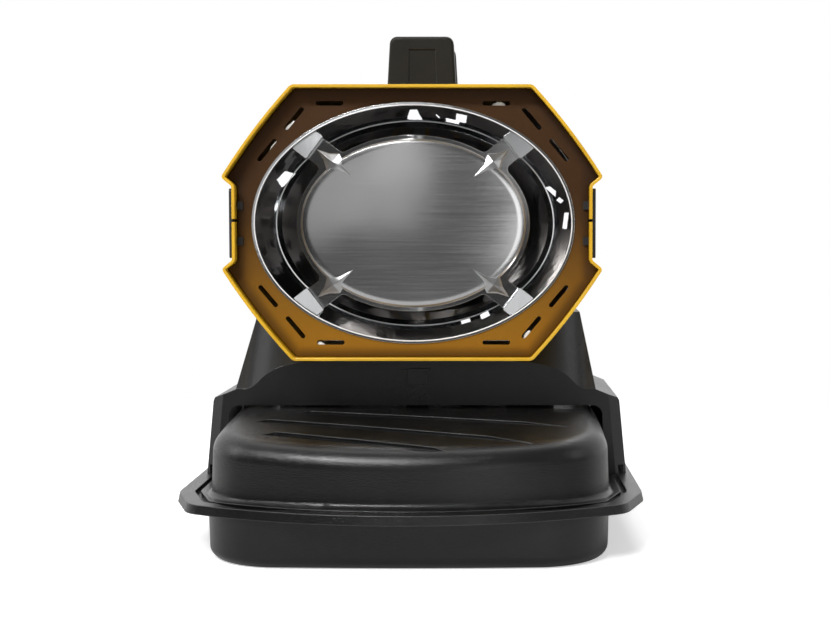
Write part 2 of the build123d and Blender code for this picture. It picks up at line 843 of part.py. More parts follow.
def thermostat_knob():
    low = pedestal_back + 1.0
    high = low + knob_height
    body = turned([(0, low), (knob_radius + 2, low), (knob_radius + 2, low + 2), (knob_radius, low + 3),
                   (knob_radius - 1, high - 1.5), (knob_radius - 2.5, high), (0, high)], 0, knob_across,
                  controls_height)
    flute = rod_y(1.1, low + 4, high + 1, knob_radius + 0.2, 0)
    for index in range(knob_flutes):
        body -= Pos(knob_across, 0, controls_height) * (Rot(0, index * 360 / knob_flutes, 0) * flute)
    body += block((knob_across - 1, low + 2, controls_height + 4),
                  (knob_across + 1, high + 0.8, controls_height + knob_radius - 3))
    return body + rod_y(3.0, pedestal_back - cover_thickness - 8, low + 1, knob_across, controls_height)


def switch_housing():
    face = pedestal_back
    half_w, half_h = switch_width / 2, switch_height / 2
    rim = across_y(Pos(switch_across, controls_height) * Rectangle(switch_width + 5, switch_height + 5), face,
                   face + 2)
    rim = fillet(rim.edges().filter_by(Axis.Y), 2)
    body = across_y(Pos(switch_across, controls_height)
                    * Rectangle(switch_width - 2 * seat_gap, switch_height - 2 * seat_gap), face - 16, face)
    cavity = block((switch_across - half_w + 2, face - 12, controls_height - half_h + 1.6),
                   (switch_across + half_w - 2, face + 5, controls_height + half_h - 1.6))
    body = rim + body - cavity
    pin = Location((switch_across, face - 3, controls_height), (0, 90, 0)) * Cylinder(1.0, switch_width - 3)
    return body + pin


def power_rocker():
    """Rocks about a pin across its middle. At rest its upper half stands out: switched off."""
    face = pedestal_back
    half_h = switch_height / 2 - 1.6 - seat_gap - 0.8
    wide = switch_width / 2 - 2 - seat_gap
    profile = outline((-half_h * 0.9, -4.5), (half_h * 0.9, -4.5), (half_h, 3.2), (0, 4.6), (-half_h, 3.2))
    cap = extrude(Plane.YZ * profile, amount=wide, both=True)
    cap -= Rot(0, 90, 0) * Cylinder(1.0 + running_gap, 4 * wide)
    return Location((switch_across, face - 3, controls_height), (-90 - rocker_angle, 0, 0)) * cap


def power_inlet():
    """A recessed three-pin appliance inlet. No cord is shown."""
    face = pedestal_back
    rim = across_y(Pos(inlet_across, controls_height) * Rectangle(inlet_width + 6, inlet_height + 6), face,
                   face + 2)
    rim = fillet(rim.edges().filter_by(Axis.Y), 3)
    body = across_y(Pos(inlet_across, controls_height)
                    * Rectangle(inlet_width - 2 * seat_gap, inlet_height - 2 * seat_gap), face - 18, face)
    socket = across_y(Pos(inlet_across, controls_height) * Rectangle(inlet_width - 4, inlet_height - 4),
                      face - 15, face + 5)
    body = rim + body - socket
    for across, up in ((-7, -2), (0, 2), (7, -2)):
        body += block((inlet_across + across - 1, face - 15, controls_height + up - 2.4),
                      (inlet_across + across + 1, face - 6, controls_height + up + 2.4))
    return body


def front_bracket():
    """Small tab and two pins under the middle of the shell."""
    face = pedestal_front
    tab = block((-9, face - 2.5, 154), (12, face, 171))
    tab = fillet(tab.edges().filter_by(Axis.Y), 1.5)
    tab += block((-18, face - 2, 167), (-9, face, 170))
    return tab + block((12, face - 3.5, 165.5), (14.5, face, 171))


# Front plate, reflector and emitter

def ellipse_y(half_width, half_height, at):
    """An ellipse about the head's axis, in the plane at a distance back."""
    plane = Plane(origin=(0, at, head_height), x_dir=(1, 0, 0), z_dir=(0, -1, 0))
    return plane * Ellipse(half_width, half_height)


def ellipse_stack(*rings):
    """Ruled body through ellipses of (half width, half height, distance back)."""
    return loft([ellipse_y(*ring) for ring in rings], ruled=True)


def front_plate():
    plate = across_y(head_outline(-sheet - seat_gap), plate_front, plate_front + plate_rim_depth)
    front_edges = plate.edges().filter_by(lambda edge: abs(edge.center().Y - plate_front) < 0.01)
    plate = fillet(front_edges, bend_radius - sheet - 0.2)
    plate -= across_y(head_outline(-2 * sheet - seat_gap), plate_front + sheet,
                      plate_front + 2 * plate_rim_depth)
    plate -= bowl_space(-sheet - seat_gap)
    slot = SlotOverall(plate_slot_length, plate_slot_width)
    for side in (-1, 1):
        for level in (-1, 1):
            places = [(flat_slot_across, flat_slot_rise, 0)]
            places += [(across, rise, -corner_slot_angle) for across, rise in corner_slots]
            for across, rise, turn in places:
                at = Location((side * across, head_height + level * rise, 0), (0, 0, side * level * turn))
                plate -= across_y(at * slot, plate_front - 5, plate_front + 5)
    return plate


def bowl_space(shrink):
    """The air inside the reflector, made smaller by shrink."""
    back = chamber_front - sheet
    wall = plate_front + wall_depth
    rings = [(mouth_half_width - shrink, mouth_half_height - shrink, plate_front - sheet),
             (ledge_half_width - shrink, ledge_half_height - shrink, wall - shrink)]
    front = ellipse_stack(*rings)
    rest = ellipse_stack((ledge_half_width - ledge_width - shrink, ledge_half_height - ledge_width - shrink,
                          wall - shrink - 0.01),
                         (bowl_half_width - shrink, bowl_half_height - shrink, plate_front + bowl_depth),
                         (chamber_inner - shrink, chamber_inner - shrink, back))
    return front + rest


def reflector():
    back = chamber_front - sheet
    body = bowl_space(-sheet) - bowl_space(0)
    lip = ellipse_stack((mouth_half_width + mouth_lip, mouth_half_height + mouth_lip, plate_front - sheet),
                        (mouth_half_width + mouth_lip, mouth_half_height + mouth_lip, plate_front))
    lip -= ellipse_stack((mouth_half_width, mouth_half_height, plate_front - 2 * sheet),
                         (mouth_half_width, mouth_half_height, plate_front + sheet))
    flange = turned([(chamber_inner, back), (chamber_radius + chamber_flange, back),
                     (chamber_radius + chamber_flange, chamber_front), (chamber_inner, chamber_front)])
    return body + lip + flange


def around_axis(solid, angle):
    """A piece drawn along +X from the head's axis, turned about that axis to stand at an angle."""
    return Pos(0, 0, head_height) * (Rot(0, -angle, 0) * solid)


def leg_angles():
    return [leg_angle, 180 - leg_angle, 180 + leg_angle, 360 - leg_angle]


emitter_front = plate_front + 0.5


def emitter():
    """Pressed plate on four legs: a raised middle, and on each leg an embossed ridge and a foot."""
    face, back = emitter_front + emitter_rise, emitter_front + emitter_rise + emitter_sheet
    wide, tall = emitter_half_width - emitter_edge, emitter_half_height - emitter_edge
    plan = Ellipse(emitter_half_width, emitter_half_height)
    for angle in leg_angles():
        plan += Rot(0, 0, angle) * (Pos(leg_reach / 2, 0) * Rectangle(leg_reach, leg_width))
    inner_corners = plan.vertices().filter_by(lambda v: sqrt(v.X ** 2 + v.Y ** 2) < leg_reach - 5)
    plan = fillet(inner_corners, leg_fillet)
    plate = across_y(Pos(0, head_height) * plan, face, back)
    middle = ellipse_stack((wide - emitter_rise, tall - emitter_rise, emitter_front), (wide, tall, face),
                           (wide, tall, back))
    dish = ellipse_stack((wide - emitter_rise - emitter_sheet, tall - emitter_rise - emitter_sheet,
                          emitter_front + emitter_sheet), (wide - emitter_sheet, tall - emitter_sheet, back))
    plate = plate + middle - dish
    for angle in leg_angles():
        foot = block((leg_reach - emitter_sheet, face, -leg_width / 4), (leg_reach, face + 40, leg_width / 4))
        plate += around_axis(foot, angle)
    plate &= bowl_space(seat_gap)
    for angle in leg_angles():
        plate += around_axis(ridge(face), angle)
    return plate


def ridge(face):
    """A pressed star along the leg: four tips, drawn-in sides and a straight crest."""
    low = face + emitter_sheet / 2
    half = ridge_half_width
    waist = half / 2 - ridge_waist / 2
    side = [(ridge_tip, 0), ((ridge_tip + ridge_shoulder) / 2 + ridge_waist, waist), (ridge_shoulder, half),
            ((ridge_shoulder + ridge_end) / 2 - ridge_waist / 3, waist), (ridge_end, 0)]
    base = [(x, low, z) for x, z in side] + [(x, low, -z) for x, z in reversed(side[1:-1])]
    peak = (ridge_shoulder, face - ridge_rise, 0)
    faces = [Face(Wire.make_polygon([Vector(*start), Vector(*end), Vector(*peak)], close=True))
             for start, end in zip(base, base[1:] + base[:1])]
    faces.append(Face(Wire.make_polygon([Vector(*point) for point in base], close=True)))
    return Solid(Shell(faces))


def emitter_clamps():
    group = Part()
    low = emitter_front + emitter_rise - clamp_sheet - seat_gap
    for angle in leg_angles():
        half = clamp_length / 2
        near, far = clamp_reach - clamp_width / 2, clamp_reach + clamp_width / 2
        bar = block((near, low, -half), (far, low + clamp_sheet, half))
        for side in (-1, 1):
            tab = block((clamp_reach - clamp_width / 3, low, half - clamp_sheet), (far, low + 45, half))
            bar += tab if side > 0 else mirror(tab, Plane.XY)
        group += around_axis(bar, angle)
    return group & clamp_space()


def clamp_space():
    """The air in the mouth, with room for the clamps that stand a little in front of it."""
    ahead = across_y(Pos(0, head_height) * Ellipse(mouth_half_width - seat_gap, mouth_half_height - seat_gap),
                     plate_front - 12, plate_front - sheet)
    return bowl_space(seat_gap) + ahead


# Combustion chamber and burner

def chamber():
    r, inner = chamber_radius, chamber_inner
    cup_hole = cup_radius + seat_gap
    profile = [(inner, chamber_front), (r + chamber_flange, chamber_front),
               (r + chamber_flange, chamber_front + sheet), (r, chamber_front + sheet), (r, chamber_back),
               (cup_hole, chamber_back), (cup_hole, chamber_back - sheet), (inner, chamber_back - sheet)]
    return turned(profile)


def flame_spreader():
    """Perforated dish across the chamber's mouth, on three arms."""
    at = chamber_front + 8
    mid = spreader_radius * 0.6
    dish = turned([(0, at - 8), (mid, at - 5), (spreader_radius, at), (spreader_radius, at + sheet),
                   (mid, at - 5 + sheet), (0, at - 8 + sheet)])
    for ring, count in ((16, 6), (31, 12)):
        for index in range(count):
            hole = rod_y(spreader_hole_radius, at - 20, at + 20, ring, 0)
            dish -= around_axis(hole, index * 360 / count)
    for index in range(3):
        arm = block((spreader_radius - 1, at, -5), (chamber_inner - seat_gap, at + sheet, 5))
        arm += block((chamber_inner - seat_gap - sheet, at, -5), (chamber_inner - seat_gap, at + 14, 5))
        dish += around_axis(arm, 90 + index * 120)
    rim = rod_y(chamber_inner - seat_gap, at - 20, at + 30)
    return dish & rim


def heat_shield():
    r = shield_radius
    back = shroud_front
    shield = turned([(r - sheet, shield_front), (r, shield_front), (r, back - sheet),
                     (r + 10, back - sheet), (r + 10, back), (r - sheet, back)])
    shield -= pillar(pipe_radius + 1.5, head_base, head_height, pickup_across, pipe_back)
    return shield - Location((-r, pipe_back, head_height), (0, 90, 0)) * Cylinder(pipe_radius + 1.5, 20)


def burner_cup():
    front, back = chamber_back - cup_depth, chamber_back
    r = cup_radius
    profile = [(9, front), (r - 3, front), (r, front + 3), (r, back), (cup_flange_radius, back),
               (cup_flange_radius, back + sheet), (r - sheet, back + sheet), (r - sheet, front + 3.5),
               (r - 3.5, front + sheet), (9, front + sheet)]
    cup = turned(profile)
    for index in range(8):
        slot = block((17, front - 5, -1.6), (33, front + 5, 1.6))
        cup -= around_axis(slot, index * 45)
    return cup


def nozzle_holder():
    plate_at = chamber_back + sheet
    body = rod_y(holder_radius, plate_at - 4, plate_at + holder_length)
    plate = rod_y(cup_flange_radius, plate_at, plate_at + 2)
    for angle in (0, 60, 120, 180, 300):
        plate -= around_axis(rod_y(5, plate_at - 5, plate_at + 5, 30, 0), angle)
    holder = body + plate
    for side in (-1, 1):
        holder -= rod_y(electrode_radius + hole_gap, plate_at - 9, plate_at + 5, side * electrode_across,
                        head_height + electrode_rise)
    holder -= rod_y(sensor_radius + hole_gap, plate_at - 9, plate_at + 5, sensor_across,
                    head_height - sensor_drop)
    for side in (-1, 1):
        spigot = Location((side * holder_radius, pipe_back, head_height), (0, side * 90, 0)) * \
            Cylinder(pipe_radius + 2, 12)
        holder += spigot
        bore = Location((side * (holder_radius + 6), pipe_back, head_height), (0, side * 90, 0)) * \
            Cylinder(pipe_radius + hole_gap, 10)
        holder -= bore
    return holder


pipe_back = chamber_back + sheet + 11.0


def spray_nozzle():
    back = chamber_back + sheet - 4
    body = across_y(Pos(0, head_height) * RegularPolygon(nozzle_radius, 6), back - nozzle_length * 0.6, back)
    tip = turned([(0, back - nozzle_length), (2, back - nozzle_length), (nozzle_radius - 1.5,
                  back - nozzle_length * 0.6), (0, back - nozzle_length * 0.6)])
    return body + tip


def electrodes():
    """Two ceramic rods with bent sparking wires."""
    group = Part()
    plate_at = chamber_back + sheet
    front = chamber_back - cup_depth + 14
    for side in (-1, 1):
        height = head_height + electrode_rise
        rod = rod_y(electrode_radius, front, plate_at + 14, side * electrode_across, height)
        collar = rod_y(electrode_radius + 1.5, plate_at + 2, plate_at + 6, side * electrode_across, height)
        wire_back = (side * electrode_across, plate_at + 20, height)
        wire_mid = (side * electrode_across, front - 4, height)
        wire_tip = (side * 1.6, front - 6, head_height + 9)
        path = FilletPolyline(wire_back, wire_mid, wire_tip, radius=2.0)
        wire = sweep(Plane(origin=path @ 0, z_dir=path % 0) * Circle(0.8), path=path)
        group += rod + collar + wire
    return group


def flame_sensor():
    plate_at = chamber_back + sheet
    up = head_height - sensor_drop
    can = rod_y(sensor_radius, plate_at - 8, plate_at + 16, sensor_across, up)
    return can + rod_y(sensor_radius + 2, plate_at + 2, plate_at + 5, sensor_across, up)


# Fan, motor and pump

def fan_shroud():
    """Plate across the shell with a short tunnel round the fan."""
    plate = across_y(head_outline(-sheet - seat_gap), shroud_front, shroud_front + sheet)
    r = fan_radius + fan_tip_gap
    ring = turned([(r, shroud_front), (r + sheet, shroud_front), (r + sheet, fan_front + fan_depth),
                   (r, fan_front + fan_depth)])
    plate = plate - rod_y(r, shroud_front - 5, shroud_front + 5) + ring
    return plate - rod_y(pipe_radius + 2, shroud_front - 5, shroud_front + 5, -air_pipe_across, head_height)


def blade_section(radius, pitch, chord):
    """A thin curved blade section, square to a line from the shaft to the tip."""
    half = chord / 2
    sag = chord * 0.09
    front = ThreePointArc((-half, 0), (0, sag + blade_sheet / 2), (half, 0))
    back = ThreePointArc((half, 0), (0, sag - blade_sheet / 2), (-half, 0))
    face = make_face(Curve() + [front, back])
    plane = Plane(origin=(radius, 0, 0), x_dir=(0, 0, 1), z_dir=(1, 0, 0))
    return plane * (Rot(0, 0, pitch) * face)


def fan():
    """Five twisted blades on a hub."""
    middle = fan_front + fan_depth / 2
    hub = turned([(shaft_radius + 0.02, -9), (hub_radius - 2, -9), (hub_radius, -7), (hub_radius, 9),
                  (shaft_radius + 0.02, 9)], 0, 0, 0)
    blade = loft([blade_section(hub_radius - 2, blade_root_pitch, 25),
                  blade_section(fan_radius * 0.62, (blade_root_pitch + blade_tip_pitch) / 2, 40),
                  blade_section(fan_radius - 0.5, blade_tip_pitch, 48)])
    disc = rod_y(fan_radius, -fan_depth / 2, fan_depth / 2, 0, 0)
    blade = blade & disc
    bore = rod_y(hub_radius - 1, -fan_depth, fan_depth, 0, 0)
    for index in range(fan_blades):
        hub += Rot(0, index * 360 / fan_blades, 0) * (blade - bore)
    return Pos(0, middle, head_height) * hub


motor_front = bracket_front + bracket_sheet
motor_back = motor_front + motor_length
pump_back = motor_back + pump_length


def motor_shaft():
    return rod_y(shaft_radius, fan_front - 1, pump_back - 2)


def motor_body():
    r, front, back = motor_radius, motor_front, motor_back
    bore = shaft_radius + running_gap
    body = turned([(bore, front), (r * 0.72, front), (r, front + 5), (r, back - 5), (r * 0.8, back),
                   (bore, back)])
    for index in range(12):
        slot = block((r - 3, front + 12, -1.5), (r + 3, back - 12, 1.5))
        body -= around_axis(slot, index * 30 + 15)
    return body


def motor_bracket():
    """A ring with four arms that reach the shell's flats."""
    front, back = bracket_front, bracket_front + bracket_sheet
    inner = turned([(motor_radius * 0.5, front), (motor_radius + 4, front), (motor_radius + 4, back),
                    (motor_radius * 0.5, back)])
    reach_up = head_half_height - sheet - seat_gap
    reach_side = recess_half - sheet - seat_gap
    for angle, reach in ((0, reach_side), (90, reach_up), (180, reach_side), (270, reach_up)):
        half_tab = 20 if reach == reach_up else recess_rise - 4
        arm = block((motor_radius, front, -9), (reach, back, 9))
        tab = block((reach - bracket_sheet, front, -half_tab), (reach, front + 14, half_tab))
        inner += around_axis(arm + tab, angle)
    return inner - rod_y(pipe_radius + seat_gap, front - 1, back + 1, -air_pipe_across)


def pump_body():
    ring = rod_y(pump_radius, motor_back, pump_back)
    ring -= rod_y(pump_bore_radius, motor_back - 1, pump_back + 1, 0, head_height + pump_offset)
    port_back = (motor_back + pump_back) / 2
    port = Location((-pump_radius, port_back, head_height), (0, 90, 0)) * Cylinder(pipe_radius + 2, 8)
    bore = Location((-pump_radius - 5, port_back, head_height), (0, 90, 0)) * \
        Cylinder(pipe_radius + hole_gap, 10)
    return ring + port - bore


def pump_rotor():
    front, back = motor_back + 0.2, pump_back - 0.2
    rotor = turned([(shaft_radius + 0.02, front), (pump_rotor_radius, front), (pump_rotor_radius, back),
                    (shaft_radius + 0.02, back)])
    reach = pump_bore_radius - pump_offset - 0.2
    for index in range(pump_vanes):
        rotor += around_axis(block((pump_rotor_radius - 6, front, -1.5), (reach, back, 1.5)),
                             index * 360 / pump_vanes)
    return rotor


def pump_cover():
    front, back = pump_back, pump_back + pump_cover_thickness
    cover = turned([(0, front), (pump_radius, front), (pump_radius, back - 1.5), (pump_radius - 1.5, back),
                    (0, back)])
    for index in range(6):
        cover += around_axis(rod_y(2.6, back, back + 1.6, pump_radius - 5, 0), index * 60)
    return cover


def intake_filter():
    front = pump_back + pump_cover_thickness
    r = filter_radius
    back = front + filter_thickness
    body = turned([(0, front), (r, front), (r, back - 1.5), (r - 2, back), (0, back)])
    for index in range(6):
        hole = rod_y(2.5, front + 3, back + 3, 16, 0)
        body -= around_axis(hole, index * 60)
    return body


def rear_guard():
    """Rim inside the shell and a grille of rings and spokes."""
    back, front = head_back, head_back - guard_bar
    rim = across_y(head_outline(-sheet - seat_gap), head_back - 12, head_back)
    rim -= across_y(head_outline(-sheet - seat_gap - 2), head_back - 13, head_back + 1)
    plate = head_outline(-sheet - seat_gap)
    opening = head_outline(-sheet - seat_gap - 10)
    grille = plate - opening
    reach = head_half_height - 8
    pitch = (reach - 30) / guard_rings
    for index in range(guard_rings + 1):
        radius = 30 + index * pitch
        grille += Pos(0, head_height) * (Circle(radius) - Circle(radius - guard_bar))
    for index in range(guard_spokes):
        angle = index * 360 / guard_spokes
        spoke = Pos(0, head_height) * (Rot(0, 0, angle) * (Pos(103, 0) * Rectangle(150, guard_bar)))
        grille += spoke & plate
    for across, height in guard_screw_places():
        grille += Pos(across, height) * Circle(7)
        grille -= Pos(across, height) * Circle(screw_radius + hole_gap)
    return rim + across_y(grille, front, back)


def guard_screw_places():
    return [(side * (head_flat_half - 14), head_height + level * (head_half_height - 11)) for side in (-1, 1)
            for level in (-1, 1)]


def guard_screws():
    group = Part()
    for across, height in guard_screw_places():
        group += Pos(across, head_back + 0.02, height) * screw((-90, 0, 0))
    return group


def pipe(points, radius_of_bends):
    path = FilletPolyline(*points, radius=radius_of_bends)
    return sweep(Plane(origin=path @ 0, z_dir=path % 0) * Circle(pipe_radius), path=path)


def fuel_line():
    """From the pickup up through the shell's floor to the nozzle holder."""
    start = dome_crest_height + 2 + 12
    across, level = pickup_across, head_base + 16
    points = [(across, pickup_back, start), (across, pickup_back, level), (across, pipe_back, level),
              (across, pipe_back, head_height), (holder_radius + 2, pipe_back, head_height)]
    return pipe(points, (9, 9, 14))


def air_line():
    """From the pump round the fan's tunnel to the nozzle holder."""
    middle = (motor_back + pump_back) / 2
    points = [(-pump_radius - 1, middle, head_height), (-air_pipe_across, middle, head_height),
              (-air_pipe_across, pipe_back, head_height), (-holder_radius - 2, pipe_back, head_height)]
    return pipe(points, (14, 8))


# Handle

def handle():
    """Moulded bail: two broad posts, a waisted bar and a finger opening below it."""
    low = head_top + seat_gap
    high = low + handle_height
    front, back = handle_front, handle_front + handle_length
    face = outline((-handle_foot_half, low), (handle_foot_half, low), (handle_top_half, high),
                   (-handle_top_half, high))
    face = fillet(face.vertices().group_by(Axis.Y)[-1], handle_corner)
    body = across_y(face, front, back)
    ends = body.edges().filter_by(lambda e: e.center().Z > low + 1
                                  and min(abs(e.center().Y - front), abs(e.center().Y - back)) < 0.01)
    body = fillet(ends, 3.5)
    gap = outline((front + handle_post, low + 4), (back - handle_post, low + 4),
                  (back - handle_post - 4, high - handle_bar), (front + handle_post + 4, high - handle_bar))
    gap = fillet(gap.vertices(), 10)
    body -= across_x(gap, -80, 80)
    for side in (-1, 1):
        span = handle_length - 2 * handle_post
        waist_radius = (span ** 2 / 4 + handle_waist ** 2) / (2 * handle_waist)
        middle = (front + back) / 2
        scoop_across = side * (handle_top_half - handle_waist + waist_radius)
        body -= pillar(waist_radius, low + 8, high + 5, scoop_across, middle)
    panel = outline((-handle_panel_half - 1, low - 1), (handle_panel_half + 3, low - 1),
                    (handle_panel_half + 1, high - 15), (-handle_panel_half, high - 15))
    body -= across_y(panel, front - 1, front + handle_panel_depth)
    for across, back_at in handle_screw_places():
        body -= pillar(screw_radius + hole_gap, low - 1, low + 14, across, back_at)
    return body


def handle_screws():
    group = Part()
    for across, back in handle_screw_places():
        group += Pos(across, back, head_top - sheet - 0.02) * screw((180, 0, 0), 12)
    return group


nodes = {
    "tank_lower": tank_lower,
    "tank_upper": tank_upper,
    "filler_neck": filler_neck,
    "filler_strainer": strainer,
    "cap_gasket": cap_gasket,
    "fuel_cap": fuel_cap,
    "gauge_body": gauge_body,
    "gauge_lens": gauge_lens,
    "gauge_needle": gauge_needle,
    "float_arm": float_arm,
    "gauge_float": gauge_float,
    "drain_plug": drain_plug,
    "fuel_pickup": fuel_pickup,
    "pedestal_housing": pedestal_housing,
    "rear_cover": rear_cover,
    "cover_screws": cover_screws,
    "chassis_tray": chassis_tray,
    "ignition_transformer": ignition_transformer,
    "control_board": control_board,
    "display_window": display_window,
    "thermostat_pot": thermostat_pot,
    "thermostat_knob": thermostat_knob,
    "switch_housing": switch_housing,
    "power_rocker": power_rocker,
    "power_inlet": power_inlet,
    "front_bracket": front_bracket,
    "shell_lower": lambda: shell_half(False),
    "shell_upper": lambda: shell_half(True),
    "side_vent_left": lambda: side_vent(-1),
    "side_vent_right": lambda: side_vent(1),
    "side_screws": side_screws,
    "front_plate": front_plate,
    "reflector": reflector,
    "emitter": emitter,
    "emitter_clamps": emitter_clamps,
    "chamber": chamber,
    "flame_spreader": flame_spreader,
    "heat_shield": heat_shield,
    "burner_cup": burner_cup,
    "nozzle_holder": nozzle_holder,
    "spray_nozzle": spray_nozzle,
    "electrodes": electrodes,
    "flame_sensor": flame_sensor,
    "fan_shroud": fan_shroud,
    "fan": fan,
    "motor_body": motor_body,
    "motor_shaft": motor_shaft,
    "motor_bracket": motor_bracket,
    "pump_body": pump_body,
    "pump_rotor": pump_rotor,
    "pump_cover": pump_cover,
    "intake_filter": intake_filter,
    "rear_guard": rear_guard,
    "guard_screws": guard_screws,
    "fuel_line": fuel_line,
    "air_line": air_line,
    "handle": handle,
    "handle_screws": handle_screws,
}

for name, make in nodes.items():
    export_step(make(), f"parts/{name}.step")
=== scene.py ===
# %% [markdown]
# A portable radiant heater for workshops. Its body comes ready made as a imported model: tank, pedestal, head,
# burner and fan are all in place. What is left is what makes it look real, which is the finish of each part
# and the small printed and pressed details. This lesson adds them one at a time.

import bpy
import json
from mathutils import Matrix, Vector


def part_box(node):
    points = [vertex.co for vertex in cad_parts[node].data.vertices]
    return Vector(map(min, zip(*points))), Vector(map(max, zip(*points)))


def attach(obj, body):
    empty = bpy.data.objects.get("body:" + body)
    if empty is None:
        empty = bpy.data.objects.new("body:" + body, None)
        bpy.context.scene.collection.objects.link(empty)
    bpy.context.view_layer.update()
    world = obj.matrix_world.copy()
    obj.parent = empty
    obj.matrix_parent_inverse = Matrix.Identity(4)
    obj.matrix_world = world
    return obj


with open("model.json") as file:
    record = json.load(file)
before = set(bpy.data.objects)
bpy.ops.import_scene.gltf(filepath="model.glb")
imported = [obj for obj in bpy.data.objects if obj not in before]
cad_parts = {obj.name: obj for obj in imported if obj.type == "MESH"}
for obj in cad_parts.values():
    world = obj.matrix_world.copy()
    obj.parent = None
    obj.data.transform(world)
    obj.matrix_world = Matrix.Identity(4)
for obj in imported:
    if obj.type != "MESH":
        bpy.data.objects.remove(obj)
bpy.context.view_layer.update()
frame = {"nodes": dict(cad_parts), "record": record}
nodes = frame["nodes"]

# %% [markdown]
# The camera comes first, because every later choice is judged through it. The heater was photographed from
# about a metre and a half, with the lens a little to the right of its middle and level with the head. Its front
# edges run level in the picture, so the camera looks straight along the heater, dips a little, and the frame is
# slid sideways with a small lens shift in place of a turn.

# %% Camera
import json
import math

import bpy
from mathutils import Matrix, Vector

camera_place = Vector((0.0789, -1.563, 0.316))
camera_dip = math.radians(3.1012)
camera_lens = 61.24
frame_slide = -0.0892

camera_data = bpy.data.cameras.new("portrait_camera")
camera_data.lens = camera_lens
camera_data.sensor_width = 36.0
camera_data.shift_x = frame_slide
camera = bpy.data.objects.new("portrait_camera", camera_data)
bpy.context.scene.collection.objects.link(camera)
look = Vector((0.0, math.cos(camera_dip), -math.sin(camera_dip)))
camera.location = camera_place
camera.rotation_mode = "QUATERNION"
camera.rotation_quaternion = look.to_track_quat("-Z", "Y")
bpy.context.scene.camera = camera
bpy.context.scene.view_settings.view_transform = "Standard"
print("camera looks along", [round(c, 3) for c in look])

# %% [markdown]
# A shader is a small graph of nodes. These helpers place one node, set its inputs and join it up in a single
# call, so that a finish further down reads as a list of what it is made of and not as wiring.

# %% Helpers for shader graphs
NUMBER, ARROW = "NodeSocketFloat", "NodeSocketVector"


def add(tree, kind, settings=None, **inputs):
    """One node of a graph. Keywords name its inputs, with _ for a space. A value may be a socket."""
    made = tree.nodes.new(kind)
    for key, value in (settings or {}).items():
        setattr(made, key, value)
    for key, value in inputs.items():
        target = made.inputs[int(key[1:])] if key[0] == "_" else made.inputs[key.replace("_", " ")]
        if isinstance(value, bpy.types.NodeSocket):
            tree.links.new(value, target)
        else:
            target.default_value = value
    return made


def new_group(name, inputs, outputs):
    """An empty node group with named number inputs and outputs, its entry node and its exit node."""
    group = bpy.data.node_groups.new(name, "ShaderNodeTree")
    for label, start in inputs.items():
        socket = group.interface.new_socket(name=label, in_out="INPUT", socket_type=NUMBER)
        socket.default_value = start
    for label, kind in outputs.items():
        group.interface.new_socket(name=label, in_out="OUTPUT", socket_type=kind)
    return group, group.nodes.new("NodeGroupInput"), group.nodes.new("NodeGroupOutput")


def place(tree, group, **inputs):
    """A group placed in a material with its own values."""
    made = tree.nodes.new("ShaderNodeGroup")
    made.node_tree = group
    for key, value in inputs.items():
        target = made.inputs[key.replace("_", " ")]
        if isinstance(value, bpy.types.NodeSocket):
            tree.links.new(value, target)
        else:
            target.default_value = value
    return made


def noise(tree, where, scale, detail=2.0, roughness=0.5):
    """Smooth random values from 0 to 1 over a point in space."""
    made = add(tree, "ShaderNodeTexNoise", Vector=where, Scale=scale, Detail=detail, Roughness=roughness)
    return made.outputs[0]


def maths(tree, operation, first, second=0.5):
    """One sum on two values."""
    return add(tree, "ShaderNodeMath", {"operation": operation}, _0=first, _1=second).outputs[0]


def arrows(tree, operation, first, second=(0, 0, 0), third=(0, 0, 0)):
    """One sum on two or three directions or points."""
    made = add(tree, "ShaderNodeVectorMath", {"operation": operation}, _0=first, _1=second, _2=third)
    return made.outputs[1 if operation in ("LENGTH", "DOT_PRODUCT") else 0]


def scaled(tree, arrow, share):
    """A direction made longer or shorter by a value."""
    return add(tree, "ShaderNodeVectorMath", {"operation": "SCALE"}, _0=arrow, Scale=share).outputs[0]


def split(tree, arrow):
    """The three numbers of a direction or point, by their letters."""
    return add(tree, "ShaderNodeSeparateXYZ", Vector=arrow).outputs


def spread(tree, value, low, high, to_low=0.0, to_high=1.0):
    """Carry the span from low to high over to another span, with a soft start and end."""
    made = add(tree, "ShaderNodeMapRange", {"interpolation_type": "SMOOTHSTEP"}, Value=value, From_Min=low,
               From_Max=high, To_Min=to_low, To_Max=to_high)
    return made.outputs[0]


def blend_colour(tree, share, first, second):
    """A mix of two colours."""
    made = add(tree, "ShaderNodeMix", {"data_type": "RGBA"})
    for target, value in ((made.inputs[0], share), (made.inputs[6], first), (made.inputs[7], second)):
        if isinstance(value, bpy.types.NodeSocket):
            tree.links.new(value, target)
        else:
            target.default_value = value
    return made.outputs[2]


def own_space(tree):
    """The point in the part's own space, so that a pattern moves with the part."""
    return add(tree, "ShaderNodeTexCoord").outputs["Object"]


# %% [markdown]
# A few sizes of the head come back in many steps: the height of its middle, and the ellipses of the bowl's mouth
# and of the emitter's raised middle. They are kept here once, in metres.

# %% Sizes of the head
head_axis_height = 0.3265
mouth_half_wide, mouth_half_tall = 0.165, 0.1225
raised_half_wide, raised_half_tall = 0.1153, 0.0856


def share_of_ellipse(tree, half_wide, half_tall):
    """The point as a share of an ellipse round the head's middle, which is 1 long on its line."""
    return arrows(tree, "MULTIPLY_ADD", own_space(tree), (1 / half_wide, 0.0, 1 / half_tall),
                  (0.0, 0.0, -head_axis_height / half_tall))


print("mouth:", 2 * mouth_half_wide, "by", 2 * mouth_half_tall, "m")

# %% [markdown]
# Moulded plastic is never smooth: the mould is etched, so that the surface is a field of tiny pebbles. Two
# sizes of noise give it, a fine one for the pebbles and a broad one for the slow change in tone that a large
# moulding has. As a shared group the tank, the housing, the handle and the knobs can each have their own size.

